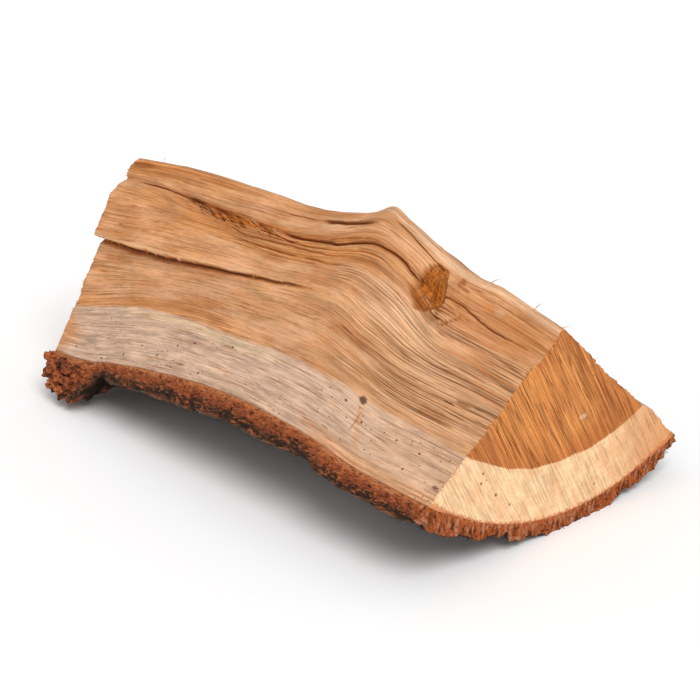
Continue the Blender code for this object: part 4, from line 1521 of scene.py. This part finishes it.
# %% Fibre streaks and fine cracks
def make_streaks():
    inputs = {"Flow": "Vector", "Length": "Float", "Width": "Float", "Detail": "Float"}
    tree, graph, given, out = new_group("fibre streaks", inputs, {"Value": "Float"})
    along = graph.math("DIVIDE", 1.0, given["Length"])
    across = graph.math("DIVIDE", 1.0, given["Width"])
    stretched = graph.scaled(given["Flow"], along, across, across)
    graph.feed(out, graph.noise(stretched, 1.0, given["Detail"], 0.55))
    return tree


STREAKS = make_streaks()


def make_cracks():
    inputs = {"Flow": "Vector", "Length": "Float", "Width": "Float", "Thin": "Float", "Cover": "Float"}
    tree, graph, given, out = new_group("fine cracks", inputs, {"Mask": "Float"})
    line = graph.group(STREAKS, given["Flow"], given["Length"], given["Width"], 1.0)
    thin = graph.ramp(graph.math("ABSOLUTE", graph.minus(line, 0.5)), given["Thin"], 0.0)
    shorter, wider = graph.times(given["Length"], 0.5), graph.times(given["Width"], 3.0)
    cover = graph.plus(graph.group(STREAKS, given["Flow"], shorter, wider, 1.0), given["Cover"])
    graph.feed(out, graph.times(thin, graph.ramp(cover, 0.95, 1.1)))
    return tree


FINE_CRACKS = make_cracks()
print("fine cracks take", [s.name for s in FINE_CRACKS.interface.items_tree if s.in_out == "INPUT"])

# %% [markdown]
# Insects and weather leave pin holes. They are small dots in the middle of randomly chosen cells, which
# keeps them apart as real ones are. A spot is an oval at one place with a soft ragged edge, for a small
# knot, a fleck or a scar.

# %% Pin holes and spots
def make_pin_holes():
    inputs = {"Place": "Vector", "Spacing": "Float", "Size": "Float", "Share": "Float"}
    tree, graph, given, out = new_group("pin holes", inputs, {"Mask": "Float"})
    per_mm = graph.math("DIVIDE", 1.0, given["Spacing"])
    place = {"Vector": graph.scaled(given["Place"], per_mm, per_mm, per_mm), "Scale": 1.0}
    cells = graph.node("ShaderNodeTexVoronoi", place, voronoi_dimensions="2D").outputs
    size = graph.times(given["Size"], per_mm)
    dot = graph.ramp(cells["Distance"], size, graph.times(size, 0.5))
    pick = graph.node("ShaderNodeSeparateColor", {"Color": cells["Color"]}).outputs[0]
    graph.feed(out, graph.times(dot, graph.math("LESS_THAN", pick, given["Share"])))
    return tree


PIN_HOLES = make_pin_holes()


def make_spot():
    inputs = {"Place": "Vector", "Centre": "Vector", "Half Size": "Vector", "Ragged": "Float"}
    tree, graph, given, out = new_group("spot", inputs, {"Mask": "Float"})
    away = graph.vector("SUBTRACT", given["Place"], given["Centre"])[0]
    far = graph.length(graph.vector("DIVIDE", away, given["Half Size"])[0])
    far = graph.strayed(far, graph.noise(given["Place"], 0.9, 3.0, 0.6), given["Ragged"])
    graph.feed(out, graph.ramp(far, 1.15, 0.65))
    return tree


SPOT = make_spot()
print("a spot takes", [s.name for s in SPOT.interface.items_tree if s.in_out == "INPUT"])

# %% [markdown]
# Hollows are darkened and raised fibres lightened, on wood and bark alike: painted shade and a painted
# highlight. One group lays a brown painted shade and then a deeper one in the hollows, and a painted
# highlight on what is raised. Another makes a colour a little darker and lighter by a value, so that no
# large face looks painted.

# %% Hollow and raised, and tint
def make_shade_and_highlight():
    colours = {"Color": "Color", "Light Shade": "Color", "Deep Shade": "Color", "Highlight": "Color"}
    inputs = {"Hollow": "Float", "Raised": "Float", **colours}
    tree, graph, given, out = new_group("hollow and raised", inputs, {"Color": "Color"})
    # Raised fibres get a painted highlight, and hollows a brown and then a dark painted shade.
    worn = (given["Raised"], given["Highlight"], 0.45)
    light_shade = (graph.ramp(given["Hollow"], 0.0, 0.6), given["Light Shade"], 0.6)
    deep_shade = (graph.ramp(given["Hollow"], 0.4, 1.0), given["Deep Shade"], 0.92)
    graph.feed(out, graph.coats(given["Color"], worn, light_shade, deep_shade))
    return tree


SHADE_AND_HIGHLIGHT = make_shade_and_highlight()


def make_tint():
    inputs = {"Color": "Color", "Value": "Float", "Darkest": "Float", "Lightest": "Float"}
    tree, graph, given, out = new_group("tint", inputs, {"Color": "Color"})
    shade = graph.ramp(given["Value"], 0.28, 0.72, given["Darkest"], given["Lightest"])
    grey = graph.node("ShaderNodeCombineColor", {0: shade, 1: shade, 2: shade}).outputs[0]
    graph.feed(out, graph.mix(1.0, given["Color"], grey, blend="MULTIPLY"))
    return tree


TINT = make_tint()
print("node groups", [g.name for g in bpy.data.node_groups])

# %% [markdown]
# ## Riven wood
# The split faces are dry, matt wood. Their colour is built up from broad soft bands of tan, brown and
# pink, narrow streaks along the fibres, and the change from brown heartwood to pale greyish sapwood. Soft
# patches and a fine grain darken and lighten it. On top come hair cracks and pale worn fibres, pin holes
# in the sapwood, a few marks of this log's own, and the masks stored on the mesh, which paint shade into
# hollows and gaps and a highlight onto raised fibres.
#
# Streaks are given as a length and a width in millimetres and a detail, and cracks as a length, a width,
# how thin they are and how much they cover. A mark is its place along and across the face, its half
# length and half width, its colour and its amount.

# %% Riven wood material
TAN = linear(222, 160, 108)
BROWN = linear(196, 130, 78)
PINK_TAN = linear(232, 176, 134)
PALE_FIBRE = linear(244, 198, 150)
ORANGE = linear(222, 142, 68)
DEEP_ORANGE = linear(134, 66, 14)
BRIGHT_ORANGE = linear(216, 126, 38)
CREAM = linear(232, 200, 160)
SAP_GREY = linear(196, 162, 138)
SAP_PINK = linear(226, 188, 160)
BLEACHED = linear(240, 208, 176)
# These three browns colour real stains, cracks and flecks, and they are also the painted shade in hollows and
# gaps.
STAIN_AND_SHADE_BROWN = linear(176, 104, 46)
CRACK_AND_SHADE_BROWN = linear(118, 62, 22)
DIRT_AND_SHADE = linear(92, 44, 14)
BROWN_FLECK = linear(150, 88, 50)
KNOTLET = linear(104, 66, 50)
RIVEN_STREAKS = {
    "broad": (70.0, 11.0, 4.0),
    "narrow": (80.0, 1.8, 3.0),
    "finest": (34.0, 0.7, 3.0),
    "mottle": (16.0, 2.6, 4.0),
    "patches": (22.0, 9.0, 4.0),
    "grain": (5.0, 0.6, 3.0),
    "sap edge": (40.0, 4.0, 4.0),
    "torn": (9.0, 1.8, 4.0),
    "relief": (50.0, 0.8, 4.0),
}
PINK_STREAKS, PINK_SQUEEZE = (34.0, 15.0, 4.0), (1.0, 1.0, 3.0)
RIVEN_TINTS = [("finest", 0.80, 1.12), ("mottle", 0.92, 1.05), ("patches", 0.87, 1.06), ("grain", 0.87, 1.09)]
RIVEN_CRACKS = {
    "hairs": (110.0, 1.7, 0.022, 0.54),
    "worn": (70.0, 1.3, 0.024, 0.52),
    "fibres": (90.0, 1.4, 0.045, 0.58),
    "checks": (130.0, 1.6, 0.042, 0.60),
}
SMALL_HOLES, LARGE_HOLES = (4.6, 0.50, 0.30), (15.0, 0.85, 0.35)
MARK_DEPTH, MARK_RAGGED = 40.0, 1.3
MARKS = [
    (253.5, 91.0, 2.8, 2.4, KNOTLET, 0.95),
    (244.0, 97.0, 1.1, 0.9, DIRT_AND_SHADE, 0.8),
    (299.5, 63.5, 4.5, 0.9, DIRT_AND_SHADE, 0.8),
    (308.5, 60.5, 5.5, 1.3, BROWN_FLECK, 0.75),
    (318.0, 59.0, 3.6, 0.9, DIRT_AND_SHADE, 0.75),
    (316.0, 17.4, 5.0, 1.0, DIRT_AND_SHADE, 0.55),
    (264.5, 4.2, 2.0, 3.2, BROWN_FLECK, 0.8),
    (268.5, 6.6, 3.6, 1.3, DIRT_AND_SHADE, 0.6),
    (263.0, 9.5, 5.0, 4.0, BROWN_FLECK, 0.4),
    (256.0, 104.0, 0.5, 8.0, BROWN_FLECK, 0.6),
    # These two darken a hollow of the torn band: painted shade.
    (66.0, 15.2, 9.0, 1.9, DIRT_AND_SHADE, 0.75),
    (80.0, 17.6, 8.0, 1.7, DIRT_AND_SHADE, 0.7),
    (294.1, 8.1, 3.4, 2.2, BLEACHED, 0.35),
    (287.0, 8.3, 3.6, 2.2, ORANGE, 0.7),
    (19.5, 41.5, 2.0, 0.6, DIRT_AND_SHADE, 0.5),
    (27.0, 32.7, 5.5, 1.2, BROWN_FLECK, 0.35),
    (40.0, 30.2, 5.2, 1.1, BROWN_FLECK, 0.35),
    (222.0, 60.4, 5.0, 0.7, DIRT_AND_SHADE, 0.6),
    (326.0, 114.0, 2.2, 1.2, DIRT_AND_SHADE, 0.75),
    (10.0, 2.0, 12.0, 3.0, DEEP_ORANGE, 0.7),
]


def new_material(name, roughness, specular):
    """A material with a plain Principled BSDF of this roughness and specular level."""
    material = bpy.data.materials.new(name)
    material.use_nodes = True
    shader = material.node_tree.nodes["Principled BSDF"]
    shader.inputs["Roughness"].default_value = roughness
    shader.inputs["Metallic"].default_value = 0.0
    shader.inputs["Specular IOR Level"].default_value = specular
    return material, Graph(material.node_tree), shader


def paint(graph, shader, colour, height):
    """Give a material its colour, and a fine relief in mm as shading only."""
    graph.feed(shader.inputs["Base Color"], colour)
    relief = graph.node("ShaderNodeBump", {"Height": height, "Distance": MM})
    graph.feed(shader.inputs["Normal"], relief.outputs[0])


def make_riven():
    material, graph, shader = new_material("riven wood", 0.85, 0.22)
    flow, sap = graph.attribute("flow", "Vector"), graph.attribute("sapwood")
    warmth, paleness, cracked = (graph.attribute(name) for name in ("warmth", "paleness", "cracked"))
    streaks = graph.groups(STREAKS, flow, RIVEN_STREAKS)
    cracks = graph.groups(FINE_CRACKS, flow, RIVEN_CRACKS)
    broad = graph.ramp(streaks["broad"], 0.38, 0.62)
    pink = graph.ramp(graph.group(STREAKS, graph.scaled(flow, *PINK_SQUEEZE), *PINK_STREAKS), 0.44, 0.62)
    narrow = graph.ramp(streaks["narrow"], 0.36, 0.64)
    heart = graph.coats(
        graph.mix(broad, BROWN, TAN),
        (pink, PINK_TAN, 0.6),
        (narrow, PINK_TAN, 0.30),
        (paleness, BLEACHED, 0.75),
        (warmth, graph.mix(narrow, STAIN_AND_SHADE_BROWN, ORANGE), 0.8),
    )
    outer = graph.coats(
        graph.mix(graph.ramp(streaks["mottle"], 0.28, 0.72), SAP_GREY, SAP_PINK),
        (pink, SAP_PINK, 0.4),
        (paleness, CREAM, 0.8),
        (warmth, ORANGE, 0.75),
    )
    colour = graph.mix(graph.ramp(graph.strayed(sap, streaks["sap edge"], 9.0), -1.2, 1.2), heart, outer)
    fresh = graph.mix(graph.ramp(streaks["torn"], 0.40, 0.62), DEEP_ORANGE, BRIGHT_ORANGE)
    colour = graph.mix(graph.attribute("torn"), colour, fresh, 0.95)
    for name, darkest, lightest in RIVEN_TINTS:
        colour = graph.group(TINT, colour, streaks[name], darkest, lightest)
    fibres, checks = (graph.times(cracks[name], cracked) for name in ("fibres", "checks"))
    colour = graph.coats(
        colour,
        (cracks["hairs"], STAIN_AND_SHADE_BROWN, 0.75),
        (cracks["worn"], PALE_FIBRE, 0.35),
        (fibres, PALE_FIBRE, 0.6),
        (checks, CRACK_AND_SHADE_BROWN, 0.85),
    )
    for x, across, long, wide, mark, amount in MARKS:
        spot = graph.group(SPOT, flow, (x, across, 0.0), (long, wide, MARK_DEPTH), MARK_RAGGED)
        colour = graph.mix(spot, colour, mark, amount)
    crowd = graph.ramp(graph.noise(flow, 0.035, 2.0), 0.46, 0.54)
    small = graph.times(graph.group(PIN_HOLES, flow, *SMALL_HOLES), crowd)
    holes = graph.math("MAXIMUM", small, graph.group(PIN_HOLES, flow, *LARGE_HOLES))
    holes = graph.times(holes, graph.ramp(sap, 2.0, 5.0))
    colour = graph.mix(holes, colour, DIRT_AND_SHADE, 0.85)
    hollow, raised = graph.attribute("hollow"), graph.attribute("raised")
    # Hollows and gaps get painted shade, brown and then dark brown, and raised fibres a pale painted
    # highlight.
    colour = graph.group(SHADE_AND_HIGHLIGHT, hollow, raised, colour, STAIN_AND_SHADE_BROWN, CRACK_AND_SHADE_BROWN, PALE_FIBRE)
    graph.feed(shader.inputs["Roughness"], graph.ramp(streaks["finest"], 0.3, 0.7, 0.92, 0.76))
    height = graph.times(streaks["relief"], 0.9)
    for mask, deep in ((cracks["hairs"], 0.25), (checks, 0.5), (holes, 0.6)):
        height = graph.minus(height, graph.times(mask, deep))
    paint(graph, shader, colour, height)
    return material


print("riven wood has", len(RIVEN_STREAKS), "kinds of streak and", len(MARKS), "marks")

# %% [markdown]
# ## Sawn wood
# The ends show the wood at its most colourful, because they were cut last: orange-brown heartwood and
# cream sapwood with a clean edge between them. Fine saw lines cross the rings, some light and some dark.
# Beside the bark the saw has frayed the rim, and shreds in the bark's own colour run into the sapwood.

# %% Sawn wood material
END_ORANGE = linear(220, 138, 66)
END_BROWN = linear(194, 110, 48)
END_LIGHT = linear(240, 170, 100)
END_DARK = linear(136, 68, 20)
END_CREAM = linear(252, 214, 166)
END_SAP = linear(244, 194, 146)
END_TAN = linear(212, 142, 86)
BARK_ORANGE = linear(204, 118, 68)
SAW_STREAKS = {"lines": (90.0, 1.3, 2.0), "fine": (60.0, 0.5, 1.0), "relief": (50.0, 1.0, 4.0)}
SAW_SCORES = (46.0, 1.3, 0.05, 0.56)
SCAR = ((LENGTH, -3.2, 62.0), (40.0, 3.2, 1.7), 1.2)
SAWN_HOLES = (14.0, 0.6, 0.14)
END_HOLES = [(-81.0, 55.0, 0.9), (-82.5, 50.0, 0.9), (-71.0, 40.0, 1.1), (8.0, 20.0, 0.8), (-60.0, 31.0, 0.7)]


def saw_place(graph, x, y, z):
    """Places on a sawn end, turned so that x runs along the saw lines and y across them."""
    ways = (SAW_ALONG, SAW_ACROSS)
    turned = [graph.plus(graph.times(y, way[0]), graph.times(z, way[1])) for way in ways]
    return graph.joined(*turned, x)


def out_of_round(graph, flow, x):
    """How far a point lies outside the wood's round, whose centre runs from the far end to the near one."""
    ends = section([[0.0], [LENGTH]])["centre"][:, 0].tolist()
    y, z = (graph.ramp(x, 0.0, LENGTH, far, near) for far, near in zip(*ends))
    from_centre = graph.length(graph.vector("SUBTRACT", flow, graph.joined(x, y, z))[0])
    return graph.minus(from_centre, RING_RADIUS - ARC_TUCK)


def make_sawn():
    material, graph, shader = new_material("sawn wood", 0.75, 0.25)
    flow, sap = graph.attribute("place", "Vector"), graph.attribute("sapwood")
    x, y, z = graph.parted(flow)
    place = saw_place(graph, x, y, z)
    streaks = graph.groups(STREAKS, place, SAW_STREAKS)
    lines = graph.ramp(streaks["lines"], 0.34, 0.66)
    broad = graph.ramp(graph.noise(flow, 0.03, 3.0, 0.55), 0.36, 0.64)
    heart = graph.coats(
        graph.mix(broad, END_BROWN, END_ORANGE),
        (lines, END_LIGHT, 0.42),
        (graph.ramp(sap, -22.0, -2.0), END_BROWN, 0.5),
    )
    outer = graph.coats(
        graph.mix(graph.ramp(graph.noise(flow, 0.10, 3.0, 0.5), 0.36, 0.64), END_SAP, END_CREAM),
        (graph.ramp(sap, 24.0, 38.0), END_SAP, 0.5),
        (graph.ramp(y, 0.0, 70.0), END_TAN, 0.8),
    )
    edge = graph.ramp(graph.strayed(sap, graph.noise(flow, 0.08, 2.0), 3.0), -0.7, 0.7)
    colour = graph.mix(edge, heart, outer)
    rings = graph.math("SINE", graph.plus(graph.times(sap, 1.4), graph.times(graph.noise(flow, 0.06), 9.0)))
    colour = graph.mix(graph.ramp(rings, 0.4, 1.0), colour, END_BROWN, 0.07)
    darkest = graph.ramp(edge, 0.0, 1.0, 0.58, 0.90)
    lightest = graph.ramp(edge, 0.0, 1.0, 1.18, 1.06)
    colour = graph.group(TINT, colour, streaks["fine"], darkest, lightest)
    colour = graph.group(TINT, colour, graph.noise(flow, 0.55, 4.0, 0.6), 0.94, 1.03)
    scores = graph.group(FINE_CRACKS, place, *SAW_SCORES)
    frayed = graph.strayed(out_of_round(graph, flow, x), graph.noise(flow, 0.45, 4.0, 0.6), 7.0)
    holes = graph.group(PIN_HOLES, place, *SAWN_HOLES)
    for across, up, radius in END_HOLES:
        spot = graph.group(SPOT, flow, (LENGTH, across, up), (MARK_DEPTH, radius, radius), 0.5)
        holes = graph.math("MAXIMUM", holes, spot)
    colour = graph.coats(
        colour,
        (graph.times(scores, graph.ramp(edge, 0.0, 1.0, 0.85, 0.15)), END_DARK, 1.0),
        (graph.group(SPOT, flow, *SCAR), BLEACHED, 0.45),
        (graph.ramp(frayed, -1.5, -0.3), BARK_ORANGE, 0.8),
        (holes, DIRT_AND_SHADE, 0.75),
    )
    graph.feed(shader.inputs["Roughness"], graph.ramp(streaks["fine"], 0.3, 0.7, 0.82, 0.68))
    height = graph.minus(graph.times(streaks["relief"], 0.9), graph.times(scores, 0.3))
    paint(graph, shader, colour, height)
    return material


print("sawn wood has", len(END_HOLES), "holes set one by one")

# %% [markdown]
# ## Bark, outside and broken
# Weathered bark is dark grey-brown with lighter plate tops. Where it is broken it shows its inside: reddish
# and crumbly, tan next to the wood, and darker towards the outside, partly the outer bark's own colour and
# partly painted shade. At the near end the saw has just opened it, so there the ring is bright and toothed,
# with pink painted highlights. Furrows, dents and deep chips are darkened as painted shade. Splinters and
# crumbs take their tone from a number drawn for each of them.

# %% Bark materials
BARK_BLACK = linear(38, 27, 20)
BARK_DARK = linear(66, 45, 32)
BARK_BROWN = linear(108, 76, 54)
BARK_GREY = linear(142, 126, 108)
BARK_RED = linear(170, 88, 50)
BARK_TAN = linear(212, 138, 88)
BARK_PINK_HIGHLIGHT = linear(232, 184, 156)
BARK_FRESH = linear(214, 110, 48)
OUTSIDE_STREAKS = {
    "broad": (24.0, 10.0, 4.0),
    "narrow": (8.0, 1.8, 5.0),
    "flecks": (4.0, 2.0, 4.0),
    "pits": (3.0, 1.5, 4.0),
    "relief": (4.0, 1.6, 6.0),
}
BROKEN_STREAKS = {"depth": (6.0, 2.4, 5.0), "flecks": (4.0, 1.3, 5.0)}
STRAND_STREAKS, STRAND_SQUEEZE = (5.0, 0.9, 5.0), (1.0, 1.0, 1.3)
TEETH_STREAKS = (6.5, 2.2, 5.0)
OLD_RING, FRESH_RING = LENGTH - 12.0, LENGTH - 3.0
LOOSE_GRAIN, LOOSE_PITS = (1.2, 4.0), (3.4, 2.2, 5.0)


def make_bark_outside():
    material, graph, shader = new_material("bark outside", 0.95, 0.15)
    flow, clump = graph.attribute("flow", "Vector"), graph.attribute("clump")
    streaks = graph.groups(STREAKS, flow, OUTSIDE_STREAKS)
    flecks = graph.ramp(streaks["flecks"], 0.56, 0.68)
    red = graph.math("MAXIMUM", clump, graph.attribute("broken"))
    colour = graph.coats(
        graph.mix(graph.ramp(streaks["broad"], 0.35, 0.65), BARK_DARK, BARK_BROWN),
        (graph.ramp(streaks["narrow"], 0.38, 0.64), BARK_GREY, 0.6),
        (flecks, BARK_RED, 0.75),
        (red, graph.mix(flecks, BARK_RED, BARK_ORANGE), 0.7),
        (graph.ramp(streaks["pits"], 0.46, 0.36), BARK_BLACK, 0.8),
    )
    # Furrows and cracks are darkened: painted shade.
    colour = graph.group(SHADE_AND_HIGHLIGHT, graph.attribute("hollow"), 0.0, colour, BARK_DARK, BARK_BLACK, BARK_GREY)
    paint(graph, shader, colour, graph.times(streaks["relief"], 3.5))
    return material


def make_bark_broken():
    material, graph, shader = new_material("bark broken", 0.92, 0.15)
    flow = graph.attribute("place", "Vector")
    streaks = graph.groups(STREAKS, flow, BROKEN_STREAKS)
    depth = graph.strayed(graph.attribute("depth"), streaks["depth"], 0.8)
    strands = graph.group(STREAKS, graph.scaled(flow, *STRAND_SQUEEZE), *STRAND_STREAKS)
    x, y, z = graph.parted(flow)
    old = graph.ramp(x, OLD_RING, FRESH_RING, 1.0, 0.25)
    weathered_and_shaded = graph.coats(
        graph.mix(graph.ramp(depth, 0.0, 0.16), BARK_TAN, BARK_ORANGE),
        (graph.ramp(depth, 0.1, 0.40), BARK_RED, 1.0),
        # Darker towards the outside of the broken edge, less at the near end: partly the outer bark's own
        # colour, partly painted shade.
        (graph.times(graph.ramp(depth, 0.45, 0.85), old), BARK_DARK, 1.0),
        (graph.ramp(streaks["flecks"], 0.52, 0.66), BARK_ORANGE, 0.65),
        # Dark where the strands' relief is low: painted shade.
        (graph.ramp(strands, 0.47, 0.36), BARK_BLACK, 0.7),
    )
    teeth = graph.group(STREAKS, graph.joined(z, y, x), *TEETH_STREAKS)
    fresh = graph.coats(
        graph.mix(graph.ramp(teeth, 0.38, 0.47), BARK_DARK, BARK_FRESH),
        (graph.ramp(depth, 0.35, 0.8), BARK_RED, 0.3),
        # A pink painted highlight on the teeth of the fresh ring.
        (graph.ramp(teeth, 0.53, 0.60), BARK_PINK_HIGHLIGHT, 0.65),
    )
    colour = graph.mix(old, fresh, weathered_and_shaded)
    raised = graph.ramp(strands, 0.60, 0.72)
    # Dents and deep chips get painted shade, and raised strands a pink painted highlight.
    colour = graph.group(SHADE_AND_HIGHLIGHT, graph.attribute("hollow"), raised, colour, BARK_DARK, BARK_BLACK, BARK_PINK_HIGHLIGHT)
    paint(graph, shader, colour, graph.times(strands, 3.4))
    return material


def make_loose(name, darkest, middle, lightest, streak_length, shade_in_pits=0.0):
    """The material of splinters or crumbs: its tone is drawn for each piece."""
    material, graph, shader = new_material(name, 0.9, 0.2)
    shade, flow = graph.attribute("shade"), graph.attribute("flow", "Vector")
    colour = graph.mix(graph.ramp(shade, 0.0, 0.5), darkest, middle)
    colour = graph.mix(graph.ramp(shade, 0.5, 1.0), colour, lightest)
    grain = graph.group(STREAKS, flow, streak_length, *LOOSE_GRAIN)
    colour = graph.group(TINT, colour, grain, 0.5, 1.3)
    # Dark spots at random stand for the shade in the crumbs' crevices: painted shade.
    if shade_in_pits:
        pits = graph.ramp(graph.group(STREAKS, flow, *LOOSE_PITS), 0.50, 0.38)
        colour = graph.mix(pits, colour, BARK_BLACK, shade_in_pits)
    paint(graph, shader, colour, graph.times(grain, 1.5))
    return material


print("outer bark has", len(OUTSIDE_STREAKS), "kinds of streak")

# %% [markdown]
# ## The four pieces
# Wood and bark each stand for one of the solids, which are hidden. Splinters are wood and crumbs are bark,
# but they stand for no solid, because they are too small to be one, and ride along with the log.

# %% Make the pieces
def put(piece, slot, *nodes):
    """Hang a piece on the log and hide the solids that it stands for. The slot is not used."""
    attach(piece, "root")
    if nodes:
        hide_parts(*nodes)


put(make_wood(make_riven(), make_sawn()), "wood", "wood")
put(make_bark(make_bark_outside(), make_bark_broken()), "bark", "bark")
put(make_splinters(make_loose("splinter", BROWN_FLECK, BRIGHT_ORANGE, PALE_FIBRE, 12.0)), "wood")
put(make_crumbs(make_loose("bark crumb", BARK_DARK, BARK_RED, BARK_ORANGE, 2.5, 0.8)), "bark")

# %% [markdown]
# ## Floor, light and camera
# The floor is plain and pale. A wide soft sun from above, to the right of the camera, lights the split face
# and the sawn end alike, and a bright world fills the shadows. The camera stands where the photographer
# stood.

# %% Floor, light and camera
VIEW_AZIMUTH, VIEW_ELEVATION = 44.0, 22.0
VIEW_DISTANCE = 1.5566
VIEW_TARGET = Vector((-0.0062, 0.0140, 0.0478))
VIEW_LENS = 142.9
FILM_WIDTH = 36.0
VIEW_REACH = 50.0
FLOOR_SIDE = 24.0
FLOOR_WHITE = 0.90
SUN_AZIMUTH, SUN_ELEVATION = 60.0, 48.0
SUN_STRENGTH = 2.1
SUN_ANGLE = 34.0
FILL_STRENGTH = 0.66


def towards(azimuth, elevation):
    """The direction from the log to a viewer at these angles, and the turn of a thing that looks back."""
    a, e = math.radians(azimuth), math.radians(elevation)
    back = Vector((math.sin(a) * math.cos(e), -math.cos(a) * math.cos(e), math.sin(e)))
    return back, (-back).to_track_quat("-Z", "Y").to_euler()


def make_floor():
    mesh = bpy.data.meshes.new("floor")
    half = FLOOR_SIDE / 2
    corners = [(-half, -half, 0), (half, -half, 0), (half, half, 0), (-half, half, 0)]
    mesh.from_pydata(corners, [], [(0, 1, 2, 3)])
    material, _, shader = new_material("pale floor", 0.9, 0.1)
    shader.inputs["Base Color"].default_value = (FLOOR_WHITE, FLOOR_WHITE, FLOOR_WHITE, 1.0)
    mesh.materials.append(material)
    floor = bpy.data.objects.new("floor", mesh)
    bpy.context.scene.collection.objects.link(floor)


def make_lights():
    sun = bpy.data.lights.new("soft_sun", "SUN")
    sun.energy = SUN_STRENGTH
    sun.angle = math.radians(SUN_ANGLE)
    lamp = bpy.data.objects.new("soft_sun", sun)
    lamp.location, lamp.rotation_euler = towards(SUN_AZIMUTH, SUN_ELEVATION)
    bpy.context.scene.collection.objects.link(lamp)
    world = bpy.data.worlds.new("studio")
    world.use_nodes = True
    background = world.node_tree.nodes["Background"].inputs
    background["Color"].default_value = (1.0, 1.0, 1.0, 1.0)
    background["Strength"].default_value = FILL_STRENGTH
    bpy.context.scene.world = world


def make_camera():
    lens = bpy.data.cameras.new("camera")
    lens.lens = VIEW_LENS
    lens.sensor_width = FILM_WIDTH
    lens.clip_end = VIEW_REACH
    camera = bpy.data.objects.new("camera", lens)
    back, camera.rotation_euler = towards(VIEW_AZIMUTH, VIEW_ELEVATION)
    camera.location = VIEW_TARGET + back * VIEW_DISTANCE
    bpy.context.scene.collection.objects.link(camera)
    bpy.context.scene.camera = camera


make_floor()
make_lights()
make_camera()
bpy.context.scene.view_settings.view_transform = "Standard"
print("camera at", [round(v, 3) for v in bpy.context.scene.camera.location])
